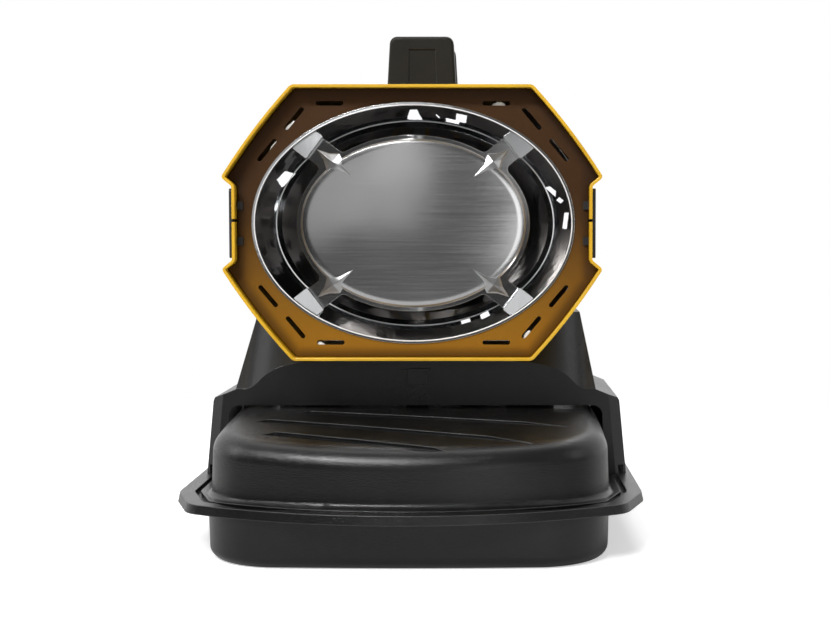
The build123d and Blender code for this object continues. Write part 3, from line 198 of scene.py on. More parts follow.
# %% Group: moulded grain
grain, grain_in, grain_out = new_group("moulded_grain", {"Pebbles": 900.0, "Clouds": 9.0},
                                       {"Height": NUMBER, "Tone": NUMBER})
where = own_space(grain)
pebbles = noise(grain, where, grain_in.outputs["Pebbles"], 2.0, 0.6)
clouds = noise(grain, where, grain_in.outputs["Clouds"], 3.0, 0.55)
grain.links.new(spread(grain, pebbles, 0.35, 0.65), grain_out.inputs["Height"])
broad_tone, fine_tone = maths(grain, "MULTIPLY", clouds, 0.6), maths(grain, "MULTIPLY", pebbles, 0.4)
grain.links.new(maths(grain, "ADD", broad_tone, fine_tone), grain_out.inputs["Tone"])
print("group:", grain.name)

# %% [markdown]
# Powder coat flows a little as it bakes and leaves a faint orange peel. It is broader and much shallower than
# the grain of a moulding.

# %% Group: powder coat
coat, coat_in, coat_out = new_group("powder_coat", {"Peel": 420.0, "Clouds": 14.0},
                                    {"Height": NUMBER, "Tone": NUMBER})
where = own_space(coat)
peel = noise(coat, where, coat_in.outputs["Peel"], 1.0, 0.4)
coat.links.new(peel, coat_out.inputs["Height"])
coat.links.new(noise(coat, where, coat_in.outputs["Clouds"], 3.0, 0.6), coat_out.inputs["Tone"])
print("group:", coat.name)

# %% [markdown]
# Brushed and rolled sheet has fine lines one way. Squeezing the space along one axis before a noise draws
# the lines, so the same group does for lines along X and for lines along Y.

# %% Group: rolled lines
lines, lines_in, lines_out = new_group("rolled_lines", {"Across X": 6.0, "Across Y": 900.0, "Across Z": 900.0},
                                       {"Height": NUMBER, "Tone": NUMBER})
squeeze = add(lines, "ShaderNodeCombineXYZ", X=lines_in.outputs["Across X"], Y=lines_in.outputs["Across Y"],
              Z=lines_in.outputs["Across Z"])
squeezed = arrows(lines, "MULTIPLY", own_space(lines), squeeze.outputs[0])
fine_lines = noise(lines, squeezed, 1.0, 3.0, 0.6)
lines.links.new(fine_lines, lines_out.inputs["Height"])
lines.links.new(noise(lines, own_space(lines), 16.0, 2.0, 0.5), lines_out.inputs["Tone"])
print("group:", lines.name)

# %% [markdown]
# Dust settles on what faces up, and not evenly. The upward part of the normal gives where, and a noise breaks
# it into patches.

# %% Group: settled dust
dust, dust_in, dust_out = new_group("settled_dust", {"Amount": 0.1, "Patches": 40.0}, {"Mask": NUMBER})
facing = split(dust, add(dust, "ShaderNodeNewGeometry").outputs["Normal"])["Z"]
upward = spread(dust, facing, 0.3, 1.0)
patches = spread(dust, noise(dust, own_space(dust), dust_in.outputs["Patches"], 4.0, 0.65), 0.35, 0.75)
dust.links.new(maths(dust, "MULTIPLY", maths(dust, "MULTIPLY", upward, patches), dust_in.outputs["Amount"]),
               dust_out.inputs["Mask"])
print("group:", dust.name)

# %% [markdown]
# A pressed or moulded edge is never knife sharp. The bevel node reads the normal of a slightly rounded copy
# of the surface. Where it parts from the true normal there is an edge, which is also where paint rubs thin, and
# where the shell gets a painted highlight.

# %% Group: rounded edge
edge, edge_in, edge_out = new_group("rounded_edge", {"Radius": 0.001}, {"Normal": ARROW, "Edge": NUMBER})
soft_normal = add(edge, "ShaderNodeBevel", {"samples": 4}, Radius=edge_in.outputs["Radius"]).outputs[0]
true_normal = add(edge, "ShaderNodeNewGeometry").outputs["Normal"]
alike = arrows(edge, "DOT_PRODUCT", soft_normal, true_normal)
edge.links.new(soft_normal, edge_out.inputs["Normal"])
edge.links.new(spread(edge, alike, 0.99, 0.8), edge_out.inputs["Edge"])
print("group:", edge.name)

# %% [markdown]
# A finish is a Principled shader with its own constants, fed by the groups. This helper starts one: it sets
# the constants on the shader's own sockets and hands back the tree to build in.

# %% Helper: start a finish
finishes = {}


def finish(slot_name, **constants):
    """A new material named after the record's slot."""
    made = bpy.data.materials.new(slot_name)
    made.use_nodes = True
    shader = made.node_tree.nodes["Principled BSDF"]
    for key, value in constants.items():
        shader.inputs[key.replace("_", " ")].default_value = value
    finishes[slot_name] = made
    return made.node_tree


def join(tree, **pairs):
    """Feed sockets of the shader, named with _ for a space."""
    shader = tree.nodes["Principled BSDF"]
    for key, value in pairs.items():
        tree.links.new(value, shader.inputs[key.replace("_", " ")])


def bumped(tree, height, depth, strength=1.0, base=None):
    """A normal tilted by a height, with depth in metres."""
    made = add(tree, "ShaderNodeBump", Height=height, Distance=depth, Strength=strength)
    if base is not None:
        tree.links.new(base, made.inputs["Normal"])
    return made.outputs[0]


# %% [markdown]
# The tank, the pedestal and the handle are black polyethylene and nylon mouldings. They differ in how coarse
# their grain is and how much sheen they have, so one function makes all of them.

# %% Finish: black mouldings
def black_moulding(slot_name, dark, light, sheen_low, sheen_high, pebbles, depth, dusty, radius, rub=0.35,
                   gloss=0.5):
    tree = finish(slot_name, IOR=1.48, Specular_IOR_Level=gloss)
    etched = place(tree, grain, Pebbles=pebbles)
    rounded = place(tree, edge, Radius=radius)
    film = place(tree, dust, Amount=dusty)
    tone = spread(tree, etched.outputs["Tone"], 0.3, 0.7)
    plain = blend_colour(tree, tone, dark, light)
    worn = maths(tree, "MULTIPLY", rounded.outputs["Edge"], rub)
    rubbed = blend_colour(tree, worn, plain, (0.12, 0.12, 0.12, 1))
    dusted = blend_colour(tree, film.outputs["Mask"], rubbed, (0.3, 0.28, 0.25, 1))
    rough = spread(tree, etched.outputs["Tone"], 0.25, 0.75, sheen_low, sheen_high)
    normal = bumped(tree, etched.outputs["Height"], depth, base=rounded.outputs["Normal"])
    join(tree, Base_Color=dusted, Roughness=rough, Normal=normal)


black_moulding("tank_plastic", (0.0025, 0.0025, 0.0025, 1), (0.0075, 0.0074, 0.0073, 1), 0.2, 0.28,
               800.0, 0.00008, 0.02, 0.0014, rub=0.75)
black_moulding("housing_plastic", (0.003, 0.003, 0.0031, 1), (0.007, 0.007, 0.0072, 1), 0.26, 0.36,
               1000.0, 0.00005, 0.015, 0.0012)
black_moulding("handle_plastic", (0.006, 0.0055, 0.0034, 1), (0.012, 0.0108, 0.0066, 1), 0.32, 0.42,
               1300.0, 0.00003, 0.015, 0.001, gloss=0.25)
print("finishes:", sorted(finishes))

# %% [markdown]
# The head's shell is the part that everyone remembers: sheet steel in a bright yellow powder coat. Along the
# edges the yellow is painted lighter, a painted highlight where the hem catches the light, and the smooth top
# coat gives a second, sharper reflection.

# %% Finish: yellow shell
tree = finish("shell_paint", Coat_Weight=0.35, Coat_Roughness=0.12, IOR=1.5)
skin = place(tree, coat)
rounded = place(tree, edge, Radius=0.0008)
tone = spread(tree, skin.outputs["Tone"], 0.3, 0.7)
yellow = blend_colour(tree, tone, (0.6, 0.33, 0.005, 1), (0.72, 0.42, 0.009, 1))
# Painted highlight: a lighter yellow along the edges.
edge_highlight = maths(tree, "MULTIPLY", rounded.outputs["Edge"], 0.5)
painted_edge_highlight = blend_colour(tree, edge_highlight, yellow, (0.95, 0.68, 0.04, 1))
join(tree, Base_Color=painted_edge_highlight, Roughness=spread(tree, skin.outputs["Tone"], 0.2, 0.8, 0.3, 0.42),
     Normal=bumped(tree, skin.outputs["Height"], 0.000014, base=rounded.outputs["Normal"]))
print("finishes:", sorted(finishes))

# %% [markdown]
# The front plate has the same paint, but it sits round a glowing emitter. Towards the top it is darker and
# browner, towards the bottom more gold. The ramp is partly heat browning, from hot air leaving at the top, and
# partly painted shade at the top, where the shell's hem keeps the light off. A ramp over height gives that, and
# a noise keeps the ramp from looking ruled. A soft dark band along the border is painted shade in the corner
# behind the hem. The distance to the plate's border, the least of three straight edges mirrored four ways,
# darkens that band.

# %% Finish: front plate, heat-browned and with painted shade
tree = finish("plate_paint", IOR=1.45, Specular_IOR_Level=0.22)
skin = place(tree, coat, Peel=500.0, Clouds=22.0)
rounded = place(tree, edge, Radius=0.0008)
plate_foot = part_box("front_plate")[0].z
flat_edge, side_edge = 0.1401, 0.185
slope_edge, slope_across, slope_up = 0.1841, 0.7937, 0.6083
spot = split(tree, own_space(tree))
wavering = maths(tree, "ADD", spot["Z"], maths(tree, "MULTIPLY", skin.outputs["Tone"], 0.03))
# Painted shade: darker towards the top, partly heat browning and partly the shade of the shell's hem.
browning_and_shade = spread(tree, wavering, plate_foot + 0.012, plate_foot + 0.19)
paint = blend_colour(tree, browning_and_shade, (0.27, 0.118, 0.003, 1), (0.046, 0.018, 0.003, 1))
wide = maths(tree, "ABSOLUTE", spot["X"])
tall = maths(tree, "ABSOLUTE", maths(tree, "SUBTRACT", spot["Z"], head_axis_height))
to_flat = maths(tree, "SUBTRACT", flat_edge, tall)
to_side = maths(tree, "SUBTRACT", side_edge, wide)
along_slope = maths(tree, "ADD", maths(tree, "MULTIPLY", wide, slope_across),
                    maths(tree, "MULTIPLY", tall, slope_up))
to_slope = maths(tree, "SUBTRACT", slope_edge, along_slope)
to_border = maths(tree, "MINIMUM", maths(tree, "MINIMUM", to_flat, to_slope), to_side)
# Painted shade: a dark band along the border, in the corner behind the hem.
painted_border_shade = maths(tree, "MULTIPLY", spread(tree, to_border, 0.014, 0.002), 0.62)
paint = blend_colour(tree, painted_border_shade, paint, (0.02, 0.009, 0.003, 1))
join(tree, Base_Color=paint, Roughness=spread(tree, skin.outputs["Tone"], 0.2, 0.8, 0.4, 0.55),
     Normal=bumped(tree, skin.outputs["Height"], 0.00008, base=rounded.outputs["Normal"]))
print("finishes:", sorted(finishes))

# %% [markdown]
# Polished stainless steel shows almost nothing of itself: it is the reflections that are seen. The bowl was
# pressed in steps, and here and there the press left a small crease that faces the front and throws a lamp's
# light forwards, a white patch in the dark band. A group makes the mask of one such patch from its middle, its
# size and its turn, and the finish tilts the normal inside the masks.

# %% Group: pressed crease
crease_patch, patch_in, patch_out = new_group(
    "pressed_crease", {"Middle X": 0.0, "Middle Z": 0.0, "Half Length": 0.005, "Half Width": 0.002, "Turn": 0.0,
                       "Taper": 0.0, "Softness": 0.15}, {"Mask": NUMBER})
place_of = split(crease_patch, own_space(crease_patch))
off_x = maths(crease_patch, "SUBTRACT", place_of["X"], patch_in.outputs["Middle X"])
off_z = maths(crease_patch, "SUBTRACT", place_of["Z"], patch_in.outputs["Middle Z"])
cosine = maths(crease_patch, "COSINE", patch_in.outputs["Turn"])
sine = maths(crease_patch, "SINE", patch_in.outputs["Turn"])
along = maths(crease_patch, "ADD", maths(crease_patch, "MULTIPLY", off_x, cosine),
              maths(crease_patch, "MULTIPLY", off_z, sine))
across = maths(crease_patch, "SUBTRACT", maths(crease_patch, "MULTIPLY", off_z, cosine),
               maths(crease_patch, "MULTIPLY", off_x, sine))
up_share = maths(crease_patch, "DIVIDE", across, patch_in.outputs["Half Width"])
tapered = maths(crease_patch, "MULTIPLY", up_share, patch_in.outputs["Taper"])
narrowing = maths(crease_patch, "SUBTRACT", 1.0, tapered)
along_share = maths(crease_patch, "DIVIDE", maths(crease_patch, "ABSOLUTE", along),
                    maths(crease_patch, "MULTIPLY", patch_in.outputs["Half Length"], narrowing))
ragged = maths(crease_patch, "MULTIPLY", noise(crease_patch, own_space(crease_patch), 420.0, 1.0), 0.3)
farther = maths(crease_patch, "MAXIMUM", along_share, maths(crease_patch, "ABSOLUTE", up_share))
wobbled = maths(crease_patch, "ADD", farther, ragged)
patch_end = 1.2
fade_start = maths(crease_patch, "SUBTRACT", patch_end, patch_in.outputs["Softness"])
crease_patch.links.new(spread(crease_patch, wobbled, fade_start, patch_end, 1.0, 0.0), patch_out.inputs["Mask"])
print("group:", crease_patch.name)

# %% [markdown]
# The patches are listed in metres across and up, with their half length, half width, turn and taper.
# All of them face the soft box on the right. They lie apart, so each list has its own direction to it. The flat
# step inside the bowl was dished by the press: its normal leans inwards, and so the step stays dark.

# %% Finish: polished steel
crease_lists = (
    ((0.175, -0.985, 0.0), [
        (0.0, 0.4408, 0.0062, 0.0044, 0.0, 0.4), (0.0498, 0.4366, 0.0058, 0.0034, -0.2, 0.0),
        (0.0405, 0.4345, 0.0075, 0.0016, -0.2, 0.0), (0.0250, 0.4392, 0.0024, 0.0006, -0.65, 0.0),
        (0.054, 0.2226, 0.0052, 0.0017, 0.3, 0.0), (0.0745, 0.2292, 0.0052, 0.0025, 0.45, 0.0)]),
    ((0.271, -0.963, -0.014), [(-0.1372, 0.3745, 0.0088, 0.0042, 0.85, 0.25)]),
    ((0.1245, -0.992, -0.002), [
        (0.145, 0.3615, 0.0062, 0.0022, -0.75, 0.3), (0.1535, 0.3508, 0.003, 0.0021, -0.7, 0.0),
        (0.1592, 0.3295, 0.0022, 0.009, -0.1, 0.0)]))
tree = finish("polished_steel", Metallic=1.0)
rolled = place(tree, lines, Across_X=25.0, Across_Y=25.0, Across_Z=25.0)
rounded = place(tree, edge, Radius=0.0009)
steel = blend_colour(tree, rolled.outputs["Tone"], (0.49, 0.5, 0.51, 1), (0.6, 0.61, 0.62, 1))


def tilted(normal, patches, facing):
    """The normal, turned to one direction inside a list of patches."""
    masks = 0.0
    for middle_x, middle_z, half_length, half_width, turn, taper in patches:
        patch = place(tree, crease_patch, Middle_X=middle_x, Middle_Z=middle_z, Half_Length=half_length,
                      Half_Width=half_width, Turn=turn, Taper=taper)
        masks = maths(tree, "MAXIMUM", masks, patch.outputs["Mask"])
    turned = add(tree, "ShaderNodeMix", {"data_type": "VECTOR"})
    for target, value in ((turned.inputs[0], masks), (turned.inputs[4], normal)):
        tree.links.new(value, target)
    turned.inputs[5].default_value = facing
    return arrows(tree, "NORMALIZE", turned.outputs[1])


flatness = maths(tree, "ABSOLUTE", split(tree, rounded.outputs["Normal"])["Y"])
dish_across, dish_up = 3.4, 4.4
inward = arrows(tree, "MULTIPLY_ADD", own_space(tree), (-dish_across, 0.0, -dish_up),
                (0.0, 0.0, dish_up * head_axis_height))
mouth_reach = arrows(tree, "LENGTH", share_of_ellipse(tree, mouth_half_wide, mouth_half_tall))
on_ledge = maths(tree, "MULTIPLY", spread(tree, flatness, 0.93, 0.985), spread(tree, mouth_reach, 0.95, 0.91))
dished = arrows(tree, "ADD", rounded.outputs["Normal"], scaled(tree, inward, on_ledge))
creased = bumped(tree, rolled.outputs["Height"], 0.0004, base=arrows(tree, "NORMALIZE", dished))
for facing, patches in crease_lists:
    creased = tilted(creased, patches, facing)
join(tree, Base_Color=steel, Roughness=spread(tree, rolled.outputs["Tone"], 0.2, 0.8, 0.06, 0.12),
     Normal=creased)
print("patches:", sum(len(patches) for _, patches in crease_lists))

# %% [markdown]
# The emitter is the plate that glows when the burner runs. It is rolled stainless with a satin surface, so
# it blurs the room into soft fields, and it carries very fine lines from side to side. Years of heat have
# bellied it out by a few millimetres. The normal leans outwards with the distance from its middle to show that,
# and leans most along the rolled rim, which draws a bright line. The flat border and the legs lie lower and turn
# to the sides, so they show the dark of the room. The pressed ridges are a little rougher than the plate, where
# the press stretched the steel.

# %% Finish: satin emitter
belly_across, belly_up, wander_share = 0.69, 0.65, 0.09
raised_face, border_face, border_turn = -0.0901, -0.0890, 0.4
tree = finish("brushed_steel", Metallic=1.0)
rolled = place(tree, lines, Across_X=14.0, Across_Y=1400.0, Across_Z=1400.0)
rounded = place(tree, edge, Radius=0.0008)
steel = blend_colour(tree, rolled.outputs["Height"], (0.43, 0.43, 0.43, 1), (0.56, 0.56, 0.56, 1))
lean = arrows(tree, "MULTIPLY_ADD", own_space(tree), (belly_across, 0.0, belly_up),
              (0.0, 0.0, -head_axis_height * belly_up))
unsettled = add(tree, "ShaderNodeTexNoise", Vector=own_space(tree), Scale=11.0, Detail=1.0, Roughness=0.4)
wander = arrows(tree, "MULTIPLY_ADD", unsettled.outputs["Color"], (wander_share, 0.0, wander_share),
                (-wander_share / 2, 0.0, -wander_share / 2))
leaning = arrows(tree, "ADD", lean, wander)
spot = split(tree, own_space(tree))
behind = spread(tree, spot["Y"], raised_face, border_face)
sideways = maths(tree, "MULTIPLY", spread(tree, spot["X"], -0.02, 0.02, -border_turn, border_turn), behind)
from_middle = share_of_ellipse(tree, raised_half_wide, raised_half_tall)
rim_lean = spread(tree, arrows(tree, "LENGTH", from_middle), 0.93, 1.0, 0.0, 0.16)
rolled_rim = scaled(tree, from_middle, maths(tree, "MULTIPLY", rim_lean, maths(tree, "SUBTRACT", 1.0, behind)))
turned_out = arrows(tree, "ADD", add(tree, "ShaderNodeCombineXYZ", X=sideways).outputs[0], rolled_rim)
steepness = maths(tree, "ABSOLUTE", split(tree, rounded.outputs["Normal"])["Y"])
on_ridge = spread(tree, steepness, 0.985, 0.93)
levelled = add(tree, "ShaderNodeMix", {"data_type": "VECTOR"})
tree.links.new(maths(tree, "MULTIPLY", on_ridge, 0.5), levelled.inputs[0])
tree.links.new(rounded.outputs["Normal"], levelled.inputs[4])
levelled.inputs[5].default_value = (0.0, -1.0, 0.0)
bellied = arrows(tree, "ADD", arrows(tree, "ADD", levelled.outputs[1], leaning), turned_out)
satin = maths(tree, "ADD", spread(tree, rolled.outputs["Height"], 0.2, 0.8, 0.15, 0.21),
              maths(tree, "MULTIPLY", on_ridge, 0.12))
join(tree, Base_Color=steel, Roughness=satin,
     Normal=bumped(tree, rolled.outputs["Height"], 0.000006, base=arrows(tree, "NORMALIZE", bellied)))
print("emitter lean:", belly_across, belly_up)

# %% [markdown]
# The four clamps are bent from the same polished strip. Each is sprung a little away from the middle, so the
# upper two show the dim studio above and the lower two the pale paper below.

# %% Finish: clamp steel
tree = finish("clamp_steel", Metallic=1.0)
rolled = place(tree, lines, Across_X=300.0, Across_Y=60.0, Across_Z=40.0)
rounded = place(tree, edge, Radius=0.0006)
height = split(tree, own_space(tree))["Z"]
sprung = spread(tree, height, head_axis_height - 0.02, head_axis_height + 0.02, -0.24, 0.135)
leaning = arrows(tree, "ADD", rounded.outputs["Normal"], add(tree, "ShaderNodeCombineXYZ", Z=sprung).outputs[0])
steel = blend_colour(tree, rolled.outputs["Height"], (0.66, 0.67, 0.68, 1), (0.84, 0.85, 0.86, 1))
join(tree, Base_Color=steel, Roughness=spread(tree, rolled.outputs["Tone"], 0.2, 0.8, 0.16, 0.26),
     Normal=bumped(tree, rolled.outputs["Height"], 0.00001, base=arrows(tree, "NORMALIZE", leaning)))
print("finishes:", sorted(finishes))

# %% [markdown]
# Burner and fan parts are plain sheet. Near the flame the steel has turned straw and blue, further out it is
# only dull. The distance from the burner's axis, a line along Y, drives the tint.

# %% Finish: plain and heat-tinted sheet
tree = finish("bare_steel", Metallic=1.0)
rolled = place(tree, lines, Across_X=60.0, Across_Y=700.0, Across_Z=60.0)
from_axis = arrows(tree, "MULTIPLY_ADD", own_space(tree), (1.0, 0.0, 1.0), (0.0, 0.0, -head_axis_height))
reach = arrows(tree, "LENGTH", from_axis)
uneven = maths(tree, "MULTIPLY", rolled.outputs["Tone"], 0.03)
tint = spread(tree, maths(tree, "ADD", reach, uneven), 0.04, 0.12)
steel = blend_colour(tree, tint, (0.33, 0.3, 0.28, 1), (0.45, 0.46, 0.47, 1))
join(tree, Base_Color=steel, Roughness=spread(tree, rolled.outputs["Height"], 0.2, 0.8, 0.3, 0.5),
     Normal=bumped(tree, rolled.outputs["Height"], 0.00003))
print("finishes:", len(finishes))

# %% [markdown]
# The other metals are small parts seen from close by. Each is a tone, a roughness and a texture: cast metal is
# pebbled like a moulding, turned and plated metal carries lines.

# %% Finish: small metal parts
def small_metal(slot_name, dark, light, rough_low, rough_high, pebbled):
    tree = finish(slot_name, Metallic=1.0)
    if pebbled:
        surface = place(tree, grain, Pebbles=1400.0)
    else:
        surface = place(tree, lines, Across_X=900.0, Across_Y=60.0, Across_Z=900.0)
    rounded = place(tree, edge, Radius=0.0005)
    tone = blend_colour(tree, surface.outputs["Tone"], dark, light)
    rough = spread(tree, surface.outputs["Tone"], 0.2, 0.8, rough_low, rough_high)
    join(tree, Base_Color=tone, Roughness=rough,
         Normal=bumped(tree, surface.outputs["Height"], 0.00003, base=rounded.outputs["Normal"]))


small_metal("zinc_steel", (0.5, 0.5, 0.47, 1), (0.66, 0.65, 0.6, 1), 0.25, 0.4, False)
small_metal("brass_metal", (0.52, 0.34, 0.12, 1), (0.66, 0.46, 0.18, 1), 0.22, 0.38, False)
small_metal("cast_aluminium", (0.48, 0.49, 0.5, 1), (0.62, 0.63, 0.64, 1), 0.4, 0.55, True)
small_metal("fan_aluminium", (0.6, 0.61, 0.62, 1), (0.74, 0.75, 0.76, 1), 0.28, 0.42, False)
print("finishes:", len(finishes))

# %% [markdown]
# Paint, rubber, ceramic and the small mouldings reflect like an insulator. The louvres and the guard are black
# powder coat, the board has a solder mask, and the gauge's dial is a matt white.

# %% Finish: coats and small mouldings
def plain_coat(slot_name, dark, light, rough_low, rough_high, depth, pebbles=700.0, radius=0.0006):
    tree = finish(slot_name, IOR=1.48)
    surface = place(tree, grain, Pebbles=pebbles, Clouds=30.0)
    rounded = place(tree, edge, Radius=radius)
    tone = blend_colour(tree, surface.outputs["Tone"], dark, light)
    rough = spread(tree, surface.outputs["Tone"], 0.2, 0.8, rough_low, rough_high)
    join(tree, Base_Color=tone, Roughness=rough,
         Normal=bumped(tree, surface.outputs["Height"], depth, base=rounded.outputs["Normal"]))


plain_coat("black_steel", (0.012, 0.012, 0.012, 1), (0.022, 0.022, 0.022, 1), 0.35, 0.5, 0.00005)
plain_coat("ceramic_white", (0.7, 0.68, 0.62, 1), (0.82, 0.8, 0.76, 1), 0.15, 0.25, 0.00002)
plain_coat("sealing_rubber", (0.012, 0.012, 0.012, 1), (0.02, 0.02, 0.02, 1), 0.6, 0.8, 0.00005)
plain_coat("gloss_black", (0.006, 0.006, 0.006, 1), (0.01, 0.01, 0.01, 1), 0.12, 0.22, 0.00001)
plain_coat("dial_white", (0.72, 0.72, 0.69, 1), (0.82, 0.82, 0.79, 1), 0.5, 0.6, 0.00002)
plain_coat("needle_red", (0.5, 0.02, 0.01, 1), (0.65, 0.04, 0.02, 1), 0.35, 0.45, 0.00001)
plain_coat("board_green", (0.01, 0.09, 0.035, 1), (0.02, 0.15, 0.06, 1), 0.25, 0.4, 0.00004)
plain_coat("filter_felt", (0.3, 0.3, 0.28, 1), (0.42, 0.42, 0.39, 1), 0.85, 0.95, 0.0004, 500.0)
print("finishes:", len(finishes))

# %% [markdown]
# The gauge's lens is clear. It keeps a plain transmission, and a little roughness from handling.

# %% Finish: clear lens
tree = finish("clear_lens", Metallic=0.0, Transmission_Weight=1.0, IOR=1.49, Base_Color=(0.9, 0.94, 0.93, 1))
skin = place(tree, coat, Peel=900.0, Clouds=60.0)
join(tree, Roughness=spread(tree, skin.outputs["Tone"], 0.3, 0.8, 0.02, 0.08))
print("finishes:", len(finishes))

# %% [markdown]
# Each part of the model knows its slot from the record. The parts keep their shapes, and their meshes already
# shade smoothly over curves while true edges stay crisp. All they need is a finish. The clamps get their own.

# %% Give every part its finish
slot_of = {row["node"]: row["material_slot"] for row in frame["record"]["subparts"]}
for name, part in nodes.items():
    part.data.materials.clear()
    finish_name = "clamp_steel" if name == "emitter_clamps" else slot_of[name]
    part.data.materials.append(finishes[finish_name])
    part.data.polygons.foreach_set("material_index", [0] * len(part.data.polygons))
print("faces in all:", sum(len(part.data.polygons) for part in nodes.values()))

# %% [markdown]
# The small pieces come next. Every one is a mesh that rides on the body it is fixed to and names the slot it is
# finished like. One helper makes such a piece from points and faces.

# %% Helper: a small piece
def small_piece(name, points, faces, finish_name, body="chassis"):
    """A mesh object with a finish and the body it rides on."""
    shape = bpy.data.meshes.new(name)
    shape.from_pydata([tuple(point) for point in points], [], faces)
    shape.materials.append(finishes[finish_name])
    made = bpy.data.objects.new(name, shape)
    bpy.context.scene.collection.objects.link(made)
    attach(made, body)
    return made


def box_faces(start):
    """The six faces of a box whose eight corners begin at a number, four low ones and then four high ones."""
    corner = [start + k for k in range(8)]
    rows = ((3, 2, 1, 0), (4, 5, 6, 7), (0, 1, 5, 4), (1, 2, 6, 5), (2, 3, 7, 6), (3, 0, 4, 7))
    return [tuple(corner[k] for k in row) for row in rows]


def bars(placed):
    """Points and faces of many small bars, each a matrix and its size along the matrix's own axes."""
    points, faces = [], []
    for frame_of, (long_side, wide_side, thick) in placed:
        faces += box_faces(len(points))
        for high in (0, thick):
            for across, along in ((-1, -1), (1, -1), (1, 1), (-1, 1)):
                points.append(frame_of @ Vector((along * long_side / 2, across * -wide_side / 2, high)))
    return points, faces


# %% [markdown]
# Where the polished bowl meets the front plate its lip is rolled over a wire, and so is the lip of the step
# inside. From the front each is a thin line of light. They are built as a bead: a small round section carried
# along an ellipse, finished near white and almost not metal, a painted highlight for that line of light.

# %% Rolled beads
def bead(name, half_wide, half_tall, at_y, radius, sides=8, steps=180):
    """A thin ring along an ellipse that faces the front."""
    points, faces = [], []
    for k in range(steps):
        turn = math.tau * k / steps
        outward = Vector((math.cos(turn) / half_wide, 0, math.sin(turn) / half_tall)).normalized()
        middle = Vector((half_wide * math.cos(turn), at_y, head_axis_height + half_tall * math.sin(turn)))
        for side in range(sides):
            angle = math.tau * side / sides
            points.append(middle + radius * (math.cos(angle) * outward + math.sin(angle) * Vector((0, 1, 0))))
            here, along_next = k * sides, (k + 1) % steps * sides
            other = (side + 1) % sides
            faces.append((here + side, along_next + side, along_next + other, here + other))
    made = small_piece(name, points, faces, "bead_painted_highlight")
    made.data.polygons.foreach_set("use_smooth", [True] * len(faces))
    return made


# The bead's near-white finish is a painted highlight.
tree = finish("bead_painted_highlight", Metallic=0.1)
rolled = place(tree, lines, Across_X=200.0, Across_Y=200.0, Across_Z=200.0)
join(tree, Base_Color=blend_colour(tree, rolled.outputs["Tone"], (0.82, 0.82, 0.82, 1), (0.95, 0.95, 0.95, 1)),
     Roughness=spread(tree, rolled.outputs["Tone"], 0.2, 0.8, 0.12, 0.22))
mouth_front, step_front = -0.0924, -0.0532
mouth_bead = bead("mouth_bead", 0.1652, 0.1226, mouth_front, 0.0007)
step_bead = bead("step_bead", 0.1478, 0.1088, step_front, 0.0005)
print("beads:", len(mouth_bead.data.polygons) + len(step_bead.data.polygons), "faces")

# %% [markdown]
# Behind a few of the slots lie small white tufts, finished like ceramic wool. They are painted glints: white
# pieces that stand in for light glinting through the slots. Each tuft is a flattened dome of rings, ruffled by a
# sine so that it isn't round.

# %% Painted glints in the slots
glint_back, glint_swell = -0.0885, 0.0012


def glint_tuft(name, across, up, long_side, wide_side, turn):
    """A ruffled flattened dome behind the plate's face."""
    points, faces, sides, rings = [], [], 14, 4
    for ring in range(rings):
        share = 1 - ring / rings
        for side in range(sides):
            angle = math.tau * side / sides
            ruffle = 1 + 0.14 * math.sin(3 * angle + 40 * across) + 0.08 * math.sin(5 * angle + ring)
            along = share * ruffle * long_side * math.cos(angle)
            aside = share * ruffle * wide_side * math.sin(angle)
            points.append((across + along * math.cos(turn) - aside * math.sin(turn),
                           glint_back - glint_swell * (1 - share ** 2),
                           up + along * math.sin(turn) + aside * math.cos(turn)))
    for ring in range(rings - 1):
        for side in range(sides):
            a, b = ring * sides + side, ring * sides + (side + 1) % sides
            faces.append((a, b, b + sides, a + sides))
    faces.append(tuple(range((rings - 1) * sides, rings * sides)))
    return small_piece(name, points, faces, "ceramic_white")


# These white tufts are painted glints behind the slots.
glint_tufts = [(-0.1275, 0.4255, 0.0075, 0.0036, 0.95), (-0.1432, 0.4062, 0.0085, 0.0036, 0.95),
         (0.0893, 0.4495, 0.0068, 0.0026, 0.0), (-0.0975, 0.2003, 0.0042, 0.0024, 0.0),
         (0.1190, 0.2085, 0.0070, 0.0036, 0.95)]
for number, (across, up, long_side, wide_side, turn) in enumerate(glint_tufts):
    glint_tuft(f"slot_glint_{number}", across, up, long_side, wide_side, turn)
print("tufts:", len(glint_tufts))

# %% [markdown]
# The plate is held at its two upright edges by small spring clips, two on each side, black from the heat.

# %% Plate clips
clip_across, clip_front, clip_offset = 0.1795, -0.0914, 0.0185
clip_long, clip_wide, clip_thick = 0.0055, 0.0085, 0.0022
lip_long, lip_thick, lip_shift = 0.0018, 0.0012, 0.002
facing_front = Matrix.Rotation(math.radians(90), 4, "X")
clips = []
for side in (-1, 1):
    for up in (-clip_offset, clip_offset):
        corner = Matrix.Translation((side * clip_across, clip_front, head_axis_height + up)) @ facing_front
        clips.append((corner, (clip_long, clip_wide, clip_thick)))
        lip = corner @ Matrix.Translation((side * lip_shift, 0, clip_thick))
        clips.append((lip, (lip_long, clip_wide, lip_thick)))
clip_points, clip_faces = bars(clips)
small_piece("plate_clips", clip_points, clip_faces, "black_steel")
print("clips:", len(clips) // 2)

# %% [markdown]
# On the rear cover the thermostat has a printed ring of marks with numbers, and the switch its I and O. Marks
# are thin raised bars set round the knob's axis. Figures are text objects, extruded by a fraction of a
# millimetre and turned to face the back.

